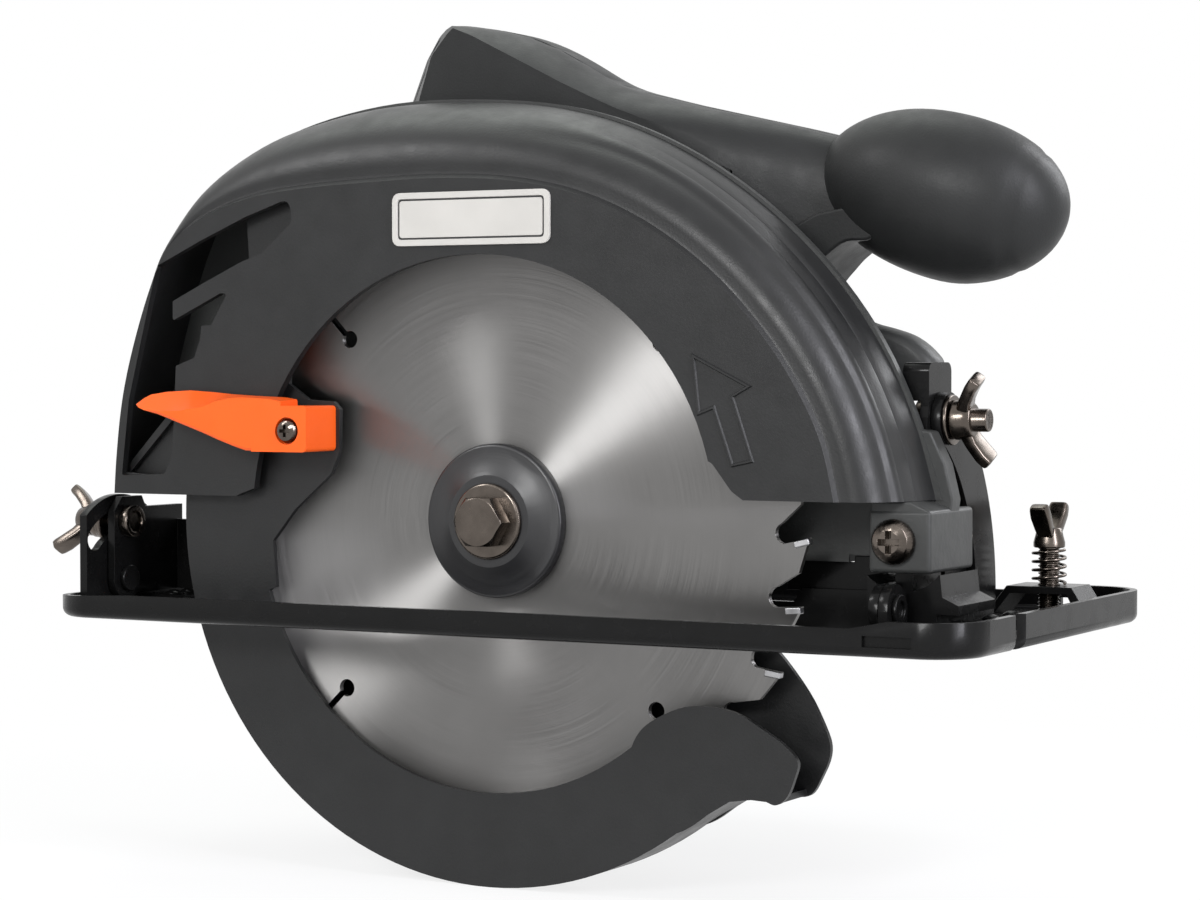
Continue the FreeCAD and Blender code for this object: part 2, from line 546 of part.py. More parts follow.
def make_motor():
    x, z = MOTOR_X, MOTOR_Z
    inner = HOUSING_R - HOUSING_WALL
    shell = tube_y(Y_HOUSING, Y_CAP, x, z, inner, HOUSING_R)
    flange = tube_y(Y_HOUSING, Y_HOUSING + 4, x, z, inner, HOUSING_R + 2)
    posts = []
    holes = []
    for a in (45, 135, 225, 315):
        px = x + (inner - 4.5) * math.cos(math.radians(a))
        pz = z + (inner - 4.5) * math.sin(math.radians(a))
        posts.append(rod_y(Y_CAP - 11.8, Y_CAP, px, pz, 5.0).common(rod_y(0, 200, x, z, inner + 1)))
        holes.append(rod_y(Y_CAP - 13, Y_CAP + 1, px, pz, 1.9))
    posts += [rod_y(Y_HOUSING, Y_HOUSING + 4, hx, hz, 4.6).cut(rod_y(0, 60, x, z, HOUSING_R - 1))
              for hx, hz in case_screw_points()]
    holes += [rod_y(Y_HOUSING - 1, Y_HOUSING + 5, hx, hz, 1.9) for hx, hz in case_screw_points()]
    body = shell.fuse([flange] + posts)
    vents = []
    for a in range(200, 341, 14):
        slot = box(inner - 2, HOUSING_R + 1, Y_FAN + 2, Y_FAN + FAN_W + 1, -1.6, 1.6)
        slot.translate(V(x, 0, z))
        vents.append(spin(slot, x, z, a))
    for side in (-1, 1):
        start = x if side > 0 else x - HOUSING_R - 8
        body = body.fuse(rod_x(start, start + HOUSING_R + 8, Y_BRUSH, z, 9.8).cut(rod_y(0, 200, x, z, inner)))
        holes.append(rod_x(start - 1, start + HOUSING_R + 9, Y_BRUSH, z, 6.5 + SEAT))
    save("motor_housing", body.cut(vents + holes).removeSplitter())

    save("stator", tube_y(Y_CORE - 2, Y_CORE + CORE_L + 2, x, z, STATOR_BORE_R, inner - SEAT))
    coils = []
    for y0 in (Y_CORE - 7, Y_CORE + CORE_L + 2):
        coils.append(tube_y(y0, y0 + 5, x, z, STATOR_BORE_R + 1.5, inner - 4)
                     .cut(box(x - 60, x + 60, y0 - 1, y0 + 6, z - 8, z + 8)))
    save("field_windings", *[s for c in coils for s in c.Solids])

    holders, carbons, caps = [], [], []
    for side in (-1, 1):
        x0, x1 = sorted((x + side * (COMMUTATOR_R + 2), x + side * (HOUSING_R + 4)))
        holders.append(rod_x(x0, x1, Y_BRUSH, z, 6.5).cut(box(x0 - 1, x1 + 1, Y_BRUSH - 3.1, Y_BRUSH + 3.1,
                                                               z - 4.1, z + 4.1)))
        x0, x1 = sorted((x + side * (COMMUTATOR_R + 0.2), x + side * (COMMUTATOR_R + 16)))
        carbons.append(box(x0, x1, Y_BRUSH - 3, Y_BRUSH + 3, z - 4, z + 4))
        x0, x1 = sorted((x + side * (HOUSING_R + 4), x + side * (HOUSING_R + 7.5)))
        cap = rod_x(x0, x1, Y_BRUSH, z, 6.4)
        slot_x = sorted((x + side * (HOUSING_R + 6), x + side * (HOUSING_R + 9)))
        caps.append(cap.cut(box(slot_x[0], slot_x[1], Y_BRUSH - 5, Y_BRUSH + 5, z - 0.7, z + 0.7)))
    save("brush_gear", *holders, *carbons)
    save("brush_caps", *caps)

    profile = [(inner, Y_CAP), (HOUSING_R, Y_CAP), (HOUSING_R, Y_END - 7), (HOUSING_R - 2.4, Y_END - 2.6),
               (HOUSING_R - 7, Y_END), (0, Y_END), (0, Y_END - HOUSING_WALL),
               (inner - 4, Y_END - HOUSING_WALL), (inner, Y_END - 9)]
    cap = turned_y(profile, x, z)
    seat_r = CAP_BEARING[1]
    cap = cap.fuse(tube_y(Y_CAP_BEARING, Y_END - 2, x, z, seat_r + SEAT, seat_r + 3))
    heads, cap_holes, cap_posts = [], [], []
    for a in (45, 135, 225, 315):
        px = x + (inner - 4.5) * math.cos(math.radians(a))
        pz = z + (inner - 4.5) * math.sin(math.radians(a))
        cap_posts.append(rod_y(Y_CAP, Y_END - 4, px, pz, 5.0).common(rod_y(0, 200, x, z, inner + 1)))
        cap_holes.append(rod_y(Y_CAP - 1, Y_END + 1, px, pz, 2.1))
        cap_holes.append(rod_y(Y_END - 3.4, Y_END + 1, px, pz, 3.8))
        screw = pan_head_y(-(Y_END - 3.4), px, pz, 3.5, 2.6, 1.8, CAP_L + 8, 2.0)
        heads.append(screw.mirror(V(0, 0, 0), V(0, 1, 0)))
    slots = []
    for k in range(-3, 4):
        half = math.sqrt(27.0 ** 2 - (k * 6.0) ** 2)
        for s in (-1, 1):
            x0, x1 = sorted((s * half, s * 13.5))
            if abs(k) > 2:
                x0, x1 = sorted((s * half, s * 3.0))
            slots.append(box(x + x0, x + x1, Y_END - HOUSING_WALL - 1, Y_END + 1, z + k * 6 - 1.4, z + k * 6 + 1.4))
    cap = cap.fuse(cap_posts).cut(slots + cap_holes)
    save("motor_end_cap", cap.removeSplitter())
    return heads


# ---------------------------------------------------------------- lower guard
# The lower edge of both cheeks' nose, which the lip joins, and the rest of each nose's outline.
NOSE_FOOT = [(58.5, -51), (67.2, -45.6), (73.4, -41.8), (79.6, -40.9), (84, -41.1), (86.2, -41.8), (88.2, -41.1)]
LOBE = [(92.2, -33.8), (92.9, -30.6), (91, -27.8), (84, -23.1), (76.4, -19.1), (69.9, -17.6), (63.5, -17.5),
        (58.3, -18.5), (53.1, -20.8), (47.8, -24.4), (44, -34), (50, -46)]
FAR_LOBE = [(89.2, -40.9), (92, -36.6), (94, -32.4), (94.7, -28.2), (93, -23), (89.4, -16.1), (84.9, -9.9),
            (78, -2.4), (60, 8), (30, 12), (20, -20), (50, -50)]
LEVER_LOBE = [(-78, 5), (-68, 9), (-69, 22), (-61.5, 31), (-49.5, 41), (-46.8, 47), (-46.6, 59), (-52, 64.5),
              (-62, 68), (-85, 66), (-90, 30)]


def make_lower_guard():
    z = ARBOR_Z
    near0, near1 = GUARD_NEAR_Y, GUARD_NEAR_Y + GUARD_WALL
    far0, far1 = GUARD_FAR_Y - GUARD_WALL, GUARD_FAR_Y
    inside = rod_y(-40, 40, 0, z, GUARD_R)
    near = sector_y(near0, near1, 0, z, GUARD_INNER_R, GUARD_R, GUARD_REAR_DEG, GUARD_FRONT_DEG)
    near = near.fuse([spline_slab(NOSE_FOOT + LOBE, near0, near1), slab_y(LEVER_LOBE, near0, near1).common(inside)])
    far = sector_y(far0, far1, 0, z, 20, GUARD_R, GUARD_REAR_DEG, GUARD_FRONT_DEG)
    far = far.fuse([spline_slab(NOSE_FOOT[:4] + FAR_LOBE, far0, far1), rod_y(far0, far1, 0, z, HUB_WEB_R)])
    rim = sector_y(near0, far1, 0, z, GUARD_IN_R, GUARD_R, GUARD_REAR_DEG, GUARD_FRONT_DEG)
    lip = NOSE_FOOT + [(px - 0.5, pz + GUARD_WALL) for px, pz in reversed(NOSE_FOOT)]
    toe = slab_y(lip, near0, far1)
    boss = rod_y(far0, Y_CASE - 0.4, 0, z, HUB_R)
    bore = rod_y(-1 + far0, Y_CASE + 1, 0, z, NOSE_OUT_R + RUN)
    screw_hole = rod_y(near0 - 1, near1 + 1, LEVER_SCREW[0], LEVER_SCREW[1], 1.6)
    guard = near.fuse([far, rim, toe, boss]).cut([bore, screw_hole])
    save("lower_guard", guard.removeSplitter())


LEVER_SCREW = (-54.2, 53.2)
LEVER_FACE_Y = -23.5
LEVER_BACK_Y = -15.0
LEVER_BLOCK = (-60.0, -48.0, 46.7, 59.0)


def make_guard_lever():
    """An orange thumb lever: a block screwed to the lower guard, with a long flat finger to the rear."""
    x0, x1, z0, z1 = LEVER_BLOCK
    finger = [(-101.7, 57.8), (-105.4, 59), (-105.4, 60.9), (-100.6, 63.1), (-90.3, 64.3), (-80, 62.1), (-60, 61.7),
              (-57.2, 59), (x1, z1), (x1, z0), (-62.6, 46.5), (-66.6, 47.8), (-83.5, 54.9)]
    body = slab_y(finger, LEVER_FACE_Y, LEVER_BACK_Y)
    body = body.fuse(box(x0, x1, LEVER_BACK_Y, GUARD_NEAR_Y, z0, z1))
    scoop = rod_y(LEVER_FACE_Y - 1, LEVER_BACK_Y - 2.5, -88, -6, 61.5)
    body = body.cut(scoop.common(box(-103, -68, -30, 0, 40, 70)))
    hole = rod_y(-40, 0, LEVER_SCREW[0], LEVER_SCREW[1], 1.8)
    seat = rod_y(-40, LEVER_FACE_Y + 1.2, LEVER_SCREW[0], LEVER_SCREW[1], 3.6)
    save("guard_lever", body.removeSplitter().cut([hole, seat]))
    screw = pan_head_y(LEVER_FACE_Y + 1.2, LEVER_SCREW[0], LEVER_SCREW[1], 3.3, 2.2, 1.5,
                       GUARD_NEAR_Y + GUARD_WALL - LEVER_FACE_Y - 1.2, 1.7)
    save("lever_screw", screw)


def make_return_spring():
    mid = (HUB_R + HUB_WEB_R) / 2
    y0 = GUARD_FAR_Y + 0.6
    save("guard_return_spring", coil(V(0, y0, ARBOR_Z), V(0, 1, 0), mid, 0.45, 1.05, 1.3))


# ---------------------------------------------------------------- upper guard
# Pairs of (x, z): the outer edge at the motor side, and the edge of the flat blade-side face at the same place.
GUARD_EDGE = [((-124.5, 28), (-120.6, 28)), ((-123.6, 44), (-119.6, 44)), ((-121.3, 61), (-117.4, 61)),
              ((-117.3, 77), (-113.4, 76.5)), ((-111.8, 94), (-107.4, 93)), ((-106.5, 107), (-101.5, 104)),
              ((-97, 123.5), (-89.5, 112.5)), ((-80, 135), (-73, 117.8)), ((-60, 141), (-55, 120)),
              ((-38, 144), (-35, 121)), ((-12, 143.8), (-11, 121.6)), ((14, 141), (13, 120)),
              ((38, 134), (34, 115.2)), ((60, 122.8), (53, 106.5)), ((80, 108), (70.5, 94)),
              ((96.5, 91), (84.5, 79.5)), ((109, 72.5), (94.8, 65)), ((117.2, 54), (101.6, 51)),
              ((124.4, 32), (105.8, 32))]


def inset(points, by, closed=False):
    """A clockwise outline moved inwards, square to its own direction."""
    moved = []
    last = len(points) - 1
    for i, (x, z) in enumerate(points):
        ax, az = points[i - 1] if closed else points[max(i - 1, 0)]
        bx, bz = points[(i + 1) % len(points)] if closed else points[min(i + 1, last)]
        length = math.hypot(bx - ax, bz - az)
        moved.append((x + by * (bz - az) / length, z - by * (bx - ax) / length))
    return moved


def guard_body(wall, y_face, y_back):
    """The guard's rounded body, drawn in by a wall thickness on every side but the back."""
    outer = inset([o for o, f in GUARD_EDGE], wall)
    face = inset([f for o, f in GUARD_EDGE], wall)
    round_end = UPPER_BACK_Y
    sections = []
    for u in (0, 22, 45, 67, 90):
        s, c = math.sin(math.radians(u)), math.cos(math.radians(u))
        y = y_face + (round_end - y_face) * (1 - c)
        points = [(fx + (ox - fx) * s, fz + (oz - fz) * s) for (ox, oz), (fx, fz) in zip(outer, face)]
        sections.append((y, points))
    if y_back > round_end:
        sections.append((y_back, outer))
    wires = []
    for y, points in sections:
        arc = spline_wire(points, y)
        end = Part.LineSegment(V(points[-1][0], y, points[-1][1]), V(points[0][0], y, points[0][1])).toShape()
        wires.append(Part.Wire([arc, end]))
    return Part.makeLoft(wires, True, False)


UPPER_SLOT = [(-105, 99.3), (-89.8, 106.2), (-74.3, 112.6), (-62.5, 116.4), (-59.2, 115.6), (-58.9, 112.2),
              (-70.3, 101.9), (-75.7, 100.1), (-88.1, 94.6), (-99.4, 89.3), (-99.4, 83.8), (-82.9, 91.2),
              (-81, 90.8), (-82.3, 88.4), (-86.1, 82.5), (-89.5, 82.3), (-89.9, 78.6), (-92, 73.3),
              (-98.4, 71), (-99, 58), (-99.8, 46.2), (-102.3, 40.3), (-117.6, 41.2), (-115, 61.3), (-110.9, 77)]


def make_upper_guard():
    shell = guard_body(0, UPPER_FACE_Y, UPPER_BACK_Y)
    hollow = guard_body(UPPER_WALL, UPPER_FACE_Y + UPPER_WALL, UPPER_BACK_Y + 3)
    shell = shell.cut(hollow)
    below = [box(-150, -40, -40, 60, 0, REAR_BOTTOM_Z), box(-60, 150, -40, 60, 0, FRONT_BOTTOM_Z)]
    mouth = rod_y(UPPER_FACE_Y - 1, UPPER_FACE_Y + UPPER_WALL + 2, 0, ARBOR_Z, CUTOUT_R)
    chin = slab_y([(-59.4, 65.7), (-65.5, 44.3), (-68.9, 39.2), (-76.3, REAR_BOTTOM_Z), (-76.3, 20), (79, 20),
                   (79, FRONT_BOTTOM_Z), (74.8, 40.6), (71, 44.5)], UPPER_FACE_Y - 1, UPPER_FACE_Y + UPPER_WALL + 2)
    slots = slab_y(UPPER_SLOT, UPPER_FACE_Y - 1, UPPER_FACE_Y + UPPER_WALL + 1)
    shelf = slab_y([(-GUARD_R - 1.2, REAR_BOTTOM_Z), (-122, REAR_BOTTOM_Z), (-121, 41), (-GUARD_R - 1.2, 38.5)],
                   UPPER_FACE_Y + 1, UPPER_BACK_Y - 2.5)
    rib = slab_y([(-120.5, 41), (-118.5, 41), (-102.5, 56.2), (-104, 57.6)], UPPER_FACE_Y + 7, UPPER_BACK_Y)
    guard = shell.cut(below + [mouth, chin, slots]).fuse([shelf, rib])
    save("upper_guard", guard.removeSplitter())
    plate = box(-25.5, 23.5, UPPER_FACE_Y - 0.7, UPPER_FACE_Y, 103.4, 117.8)
    save("badge_plate", round_edges(plate, 2.2, along(V(0, 1, 0))))


# ---------------------------------------------------------------- gear case
def case_plate():
    edge = inset([o for o, f in GUARD_EDGE], -CASE_PROUD)
    arc = spline_wire(edge, Y_CASE)
    end = Part.LineSegment(V(edge[-1][0], Y_CASE, edge[-1][1]), V(edge[0][0], Y_CASE, edge[0][1])).toShape()
    plate = Part.Face(Part.Wire([arc, end])).extrude(V(0, CASE_PLATE_T, 0))
    return plate.cut([box(-150, -40, 0, 60, 0, REAR_BOTTOM_Z), box(-60, 150, 0, 60, 0, FRONT_BOTTOM_Z)])


def make_gear_case():
    z = ARBOR_Z
    y1 = Y_PLATE
    out_a, out_m = GEAR_CHAMBER_R + CHAMBER_WALL, HOUSING_R
    chamber = hull_y(Y_CASE, y1, 0, z, out_a, MOTOR_X, MOTOR_Z, out_m)
    pocket = hull_y(Y_CHAMBER, y1 + 1, 0, z, GEAR_CHAMBER_R, MOTOR_X, MOTOR_Z, MOTOR_CHAMBER_R)
    web = slab_y([(20, 20), (98, 20), (98, 44), (93, 52), (86, 62), (80, 72), (78, 88), (20, 88)], Y_CASE, 45)
    web_pocket = slab_y([(42, 23), (95, 23), (95, 43), (90.3, 50.8), (83.4, 60.5), (77.2, 71), (75, 85), (34, 85),
                         (34, 60)], Y_CASE + 3, 46)
    ribs = [slab_y([(34, 50), (96, 24), (98, 27), (36, 53)], Y_CASE_PLATE, 30),
            slab_y([(60, 22), (62.5, 22), (78, 86), (75.5, 86)], Y_CASE_PLATE, 30)]
    shoulder = slab_y([(66, 90), (80, 87), (91, 82), (98.5, 78.6), (106, 76.8), (110.5, 74.5), (112.4, 71.5),
                       (113, 64.5), (96, 64), (84, 64), (66, 70)], 38, 52)
    nose = slab_y([(96, 30), (122, 30), (120.5, 40), (117.5, 48), (96, 48)], Y_CASE, 18.5)
    lug = box(LUG_X[0], LUG_X[1], LUG_Y[0], LUG_Y[1], LUG_Z[0], LUG_Z[1])
    lug = round_edges(lug, 1.2, lambda e: True)
    link = box(96, LUG_X[0] + 2, Y_CASE, LUG_Y[1], 22, 36)
    ear = rod_y(Y_CASE, Y_CASE + 3, CLAMP_X, CLAMP_Z, 10)
    strap = box(CLAMP_X - 10, CLAMP_X + 10, Y_CASE, Y_CASE_PLATE, CLAMP_Z, REAR_BOTTOM_Z + 4)
    case = case_plate().fuse([chamber, web, shoulder, nose, lug, link, ear, strap])
    ear_gap = rod_y(EAR_Y[0] - AIR, EAR_Y[1] + AIR, DEPTH_X, DEPTH_Z, EAR_R + AIR)
    ear_gap = ear_gap.fuse(box(DEPTH_X - EAR_R - AIR, DEPTH_X + EAR_R + AIR, EAR_Y[0] - AIR, EAR_Y[1] + AIR,
                               LUG_Z[0] - 1, DEPTH_Z))
    ear_gap = ear_gap.fuse(box(DEPTH_X, DEPTH_X + NECK_SWING, EAR_Y[0] - AIR, EAR_Y[1] + AIR,
                               LUG_Z[0] - 1, DEPTH_Z - 3))
    cuts = [pocket, web_pocket.cut(hull_y(0, 60, 0, z, out_a, MOTOR_X, MOTOR_Z, out_m)), ear_gap,
            rod_y(0, Y_BEARING_END, 0, z, FRONT_BEARING[1] + SEAT), rod_y(0, 60, 0, z, FRONT_BEARING[1] - 3),
            rod_y(-9, 60, DEPTH_X, DEPTH_Z, DEPTH_PIN_R + RUN),
            rod_y(0, 60, CLAMP_X, CLAMP_Z, DEPTH_BOLT_R + RUN),
            rod_x(-60, 0, LOCK_Y, z, LOCK_PIN_R + RUN)]
    for a in RETAINER_ANGLES:
        c = polar(RETAINER_SCREW_R, a)
        cuts.append(rod_y(0, Y_CASE + 6, c.x, c.z, 1.25))
    for hx, hz in case_screw_points():
        cuts.append(rod_y(Y_PLATE - 10, Y_PLATE + 20, hx, hz, 1.9))
    pads = [rod_y(Y_PLATE - 14, Y_PLATE, hx, hz, 4.6) for hx, hz in case_screw_points()]
    motor_room = [hull_y(Y_PLATE, 60, 0, z, out_a + AIR, MOTOR_X, MOTOR_Z, HOUSING_R + 2 + AIR)]
    motor_room += [rod_y(Y_PLATE, 60, hx, hz, 5.0) for hx, hz in case_screw_points()]
    save("gear_case", case.cut([pocket]).fuse(pads).cut(cuts + motor_room).removeSplitter())


GEAR_CHAMBER_R = 21.0
MOTOR_CHAMBER_R = 36.5
EAR_Y = (4.5, 23.5)
NECK_SWING = 8.2      # room in the lug for the bracket's neck at full swing
LOCK_Y = Y_DISC + DISC_W / 2
LOCK_PIN_R = 1.8
RETAINER_ANGLES = (30, 150, 270)
RETAINER_SCREW_R = 19.0


def case_screw_points():
    """Four screws round the motor flange, between the gear case and the motor housing."""
    r = HOUSING_R + 3.5
    return [(MOTOR_X + r * math.cos(math.radians(a)), MOTOR_Z + r * math.sin(math.radians(a)))
            for a in (20, 65, 125, 175)]


def make_case_parts():
    z = ARBOR_Z
    plate = hull_y(Y_PLATE, Y_HOUSING, 0, z, GEAR_CHAMBER_R + CHAMBER_WALL, MOTOR_X, MOTOR_Z, HOUSING_R)
    for hx, hz in case_screw_points():
        plate = plate.fuse(rod_y(Y_PLATE, Y_HOUSING, hx, hz, 4.6))
    cuts = [rod_y(0, Y_PLATE + 1 + REAR_BEARING[2] + 0.1, 0, z, REAR_BEARING[1] + SEAT),
            rod_y(Y_PLATE + 1.5, 60, MOTOR_X, MOTOR_Z, REAR_BEARING[1] + SEAT),
            rod_y(0, 60, MOTOR_X, MOTOR_Z, 6.2)]
    cuts += [rod_y(Y_PLATE - 1, Y_HOUSING + 1, hx, hz, 1.9) for hx, hz in case_screw_points()]
    save("bearing_plate", plate.cut(cuts).removeSplitter())

    screws = []
    for hx, hz in case_screw_points():
        screw = pan_head_y(-(Y_HOUSING + 4), hx, hz, 3.3, 2.6, 1.8, PLATE_T + 4 + 8, 2.0)
        screws.append(screw.mirror(V(0, 0, 0), V(0, 1, 0)))
    ring = rod_y(Y_NOSE, Y_CASE, 0, z, NOSE_OUT_R).fuse(rod_y(Y_NOSE, Y_LIP, 0, z, HUB_R))
    ring = ring.cut([rod_y(Y_BEARING, Y_CASE + 1, 0, z, FRONT_BEARING[1] + SEAT),
                     rod_y(0, 60, 0, z, FRONT_BEARING[0] + 2)])
    for a in RETAINER_ANGLES:
        c = polar(RETAINER_SCREW_R, a)
        ring = ring.cut([rod_y(0, 60, c.x, c.z, 1.25), rod_y(0, Y_NOSE + 1.3, c.x, c.z, 2.4)])
        screws.append(rod_y(Y_NOSE + 0.1, Y_NOSE + 1.3, c.x, c.z, 2.3)
                      .fuse(rod_y(Y_NOSE + 1.3, Y_CASE + 5, c.x, c.z, 1.2)).removeSplitter())
    save("bearing_retainer", ring)

    save("spindle_bearings", bearing(Y_BEARING, 0, z, FRONT_BEARING), bearing(Y_PLATE + 1, 0, z, REAR_BEARING))
    save("armature_bearings", bearing(Y_PLATE + 2, MOTOR_X, MOTOR_Z, REAR_BEARING),
         bearing(Y_CAP_BEARING, MOTOR_X, MOTOR_Z, CAP_BEARING))
    return screws


LOCK_TRAVEL = 3.0
LOCK_HEAD_X = -43.0   # rearmost reach of the case beside the lock pin


def make_spindle_lock():
    """A push pin at the rear of the gear case that drops into the lock disc."""
    tip = -(LOCK_DISC_R + 0.5)
    head = LOCK_HEAD_X - LOCK_TRAVEL - AIR
    pin = rod_x(head, tip, LOCK_Y, ARBOR_Z, LOCK_PIN_R).fuse(rod_x(head - 4, head, LOCK_Y, ARBOR_Z, 6.0))
    pin = round_edges(pin.removeSplitter(), 1.0, lambda e: e.BoundBox.XMax < head - 3.9)
    save("spindle_lock_button", pin)


# ---------------------------------------------------------------- handle
GRIP = [(-60, 66), (-67, 84), (-67, 108), (-61, 131), (-55, 147), (-50, 160), (-43.5, 168.2), (-33, 168.8),
        (-13, 164), (2, 156.5), (13, 150.5), (24, 147), (44, 142), (66, 137), (82, 133), (93, 128), (97, 119),
        (93, 110), (84, 107.6), (72, 107.5), (64, 102), (61, 92), (60, 70), (20, 60)]
HAND_HOLE = [(-47, 104), (-46, 118), (-39, 130.5), (-25, 134), (-5, 131.5), (15, 125.5), (31, 120), (38, 111),
             (31, 101.5), (10, 98.5), (-20, 98.5), (-39, 98)]
TRIGGER_PIVOT = (4.0, 136.5)
TRIGGER_RANGE = 8.0
LOCKOFF = (-24.0, 150.0)
GLAND = (-64.0, 94.0)
HANDLE_SCREWS = ((-55.5, 120.0), (-38.0, 161.0), (40.0, 130.0), (50.0, 105.0))
HANDLE_SCREW_Y = HANDLE_Y + HANDLE_HALF - 2.2


def knob(grow):
    """An egg-shaped front knob, turned about its long axis, which slopes down to the front."""
    a, b = KNOB_A[0] + grow, KNOB_A[1] + grow
    half = Part.ArcOfEllipse(Part.Ellipse(V(0, 0, 0), a, b), 0, math.pi)
    outline = Part.Wire([half.toShape(), Part.LineSegment(V(-a, 0, 0), V(a, 0, 0)).toShape()])
    egg = Part.Face(outline).revolve(V(0, 0, 0), V(1, 0, 0), 360)
    egg.rotate(V(0, 0, 0), V(0, 1, 0), KNOB_TILT)
    egg.translate(V(KNOB_C[0], HANDLE_Y, KNOB_C[1]))
    return egg


def grip_body(wall, half):
    """Half of the grip and of its hand hole, from the mid-plane towards -Y, with the grip drawn in by a wall."""
    y0 = HANDLE_Y - half
    outline = Part.Face(Part.Wire([spline_wire(inset(GRIP, wall, True), y0, True)]))
    hole = Part.Face(Part.Wire([spline_wire(inset(HAND_HOLE, -wall, True), y0, True)]))
    return outline.extrude(V(0, half, 0)), hole.extrude(V(0, half, 0))


def cut_in_turn(shape, cutters):
    """The largest solid that is left after each cutter in turn."""
    for cutter in cutters:
        shape = max(shape.cut(cutter).Solids, key=lambda solid: solid.Volume)
    return shape


def make_handle():
    outer, hole = grip_body(0, HANDLE_HALF)
    inner, inner_hole = grip_body(HANDLE_WALL, HANDLE_HALF - HANDLE_WALL)
    y_face = HANDLE_Y - HANDLE_HALF
    body = outer.cut(hole)
    body = body.makeFillet(HANDLE_ROUND, [e for e in body.Edges if at_y(y_face)(e)])
    near_side = box(-200, 200, 0, HANDLE_Y, 0, 250)
    body = body.fuse(knob(0).common(near_side))
    hollow = inner.cut(inner_hole).fuse(knob(-HANDLE_WALL).common(near_side))
    case = [rod_y(0, 200, MOTOR_X, MOTOR_Z, HOUSING_R + SEAT),
            rod_y(0, Y_HOUSING + 4, MOTOR_X, MOTOR_Z, HOUSING_R + 2 + SEAT),
            box(-10, 100, 0, 45.2, 0, 88 + SEAT), box(62, 100, 37, 53, 0, 90.5), box(-10, 100, 0, 90, 0, 84)]
    case += [rod_y(0, Y_HOUSING + 12, hx, hz, 5.0) for hx, hz in case_screw_points()]
    half = cut_in_turn(body, [hollow] + case)
    other = cut_in_turn(half.mirror(V(0, HANDLE_Y, 0), V(0, 1, 0)), case)
    trigger_gap = box(-44, 7.5, HANDLE_Y - TRIGGER_W / 2 - AIR, HANDLE_Y + TRIGGER_W / 2 + AIR, 112, 141)
    gland_hole = rod_x(GLAND[0] - 30, GLAND[0] + 20, HANDLE_Y, GLAND[1], 8 + SEAT)
    pivot_reach = HANDLE_HALF - 4 + AIR
    pivot = rod_y(HANDLE_Y - pivot_reach, HANDLE_Y + pivot_reach, TRIGGER_PIVOT[0], TRIGGER_PIVOT[1], 1.5 + RUN)
    save("handle_right_half", cut_in_turn(half, [trigger_gap, gland_hole, pivot]))
    press = rod_y(HANDLE_Y, HANDLE_Y + 40, LOCKOFF[0], LOCKOFF[1], 5 + AIR)
    seats = [rod_y(HANDLE_SCREW_Y, HANDLE_Y + 40, sx, sz, 3.4) for sx, sz in HANDLE_SCREWS]
    seats += [rod_y(HANDLE_Y - 8, HANDLE_Y + 40, sx, sz, 1.6) for sx, sz in HANDLE_SCREWS]
    save("handle_left_half", cut_in_turn(other, [trigger_gap, gland_hole, pivot, press] + seats))

    heads = []
    for sx, sz in HANDLE_SCREWS:
        screw = pan_head_y(-HANDLE_SCREW_Y, sx, sz, 3.2, 2.0, 1.5, 22, 1.8)
        heads.append(screw.mirror(V(0, 0, 0), V(0, 1, 0)))
    return heads


def make_switch():
    px, pz = TRIGGER_PIVOT
    y0, y1 = HANDLE_Y - TRIGGER_W / 2, HANDLE_Y + TRIGGER_W / 2
    shape = [(-41, 138), (-41, 129), (-36, 125), (-24, 123.5), (-10, 125), (-1, 129), (px + 2.5, pz - 2),
             (px + 2.5, pz + 2.5), (-6, 139.5)]
    trigger = round_edges(slab_y(shape, y0, y1), 1.6, lambda e: not along(V(0, 1, 0))(e) and e.BoundBox.ZMax < 132)
    pivots = rod_y(HANDLE_Y - HANDLE_HALF + 4, HANDLE_Y + HANDLE_HALF - 4, px, pz, 1.5)
    save("trigger", trigger.fuse(pivots).removeSplitter())
    block = box(-40, -8, HANDLE_Y - 5.5, HANDLE_Y + 5.5, 146.5, 158)
    save("switch_block", block.fuse(box(-30, -26, HANDLE_Y - 3, HANDLE_Y + 3, 145.2, 146.5)).removeSplitter())
    face = HANDLE_Y + HANDLE_HALF
    button = rod_y(HANDLE_Y + 9, face + 4, LOCKOFF[0], LOCKOFF[1], 5.0)
    button = button.fuse(rod_y(HANDLE_Y + 9, HANDLE_Y + 11, LOCKOFF[0], LOCKOFF[1], 7.0)).removeSplitter()
    save("lock_off_button", round_edges(button, 1.2, at_y(face + 4)))
    gland = turned_x([(8, GLAND[0] - 4), (8, GLAND[0] + 6), (11, GLAND[0] + 6), (11, GLAND[0] + 9),
                      (4, GLAND[0] + 9), (4, GLAND[0] - 34), (6.2, GLAND[0] - 34)], HANDLE_Y, GLAND[1])
    save("cord_inlet", gland)


def turned_x(profile, y, z):
    """A solid of revolution about the X line through (y, z), from (radius, x) corners."""
    ring = [V(x, y, z + r) for r, x in profile]
    return Part.Face(Part.makePolygon(ring + ring[:1])).revolve(V(0, y, z), V(1, 0, 0), 360)


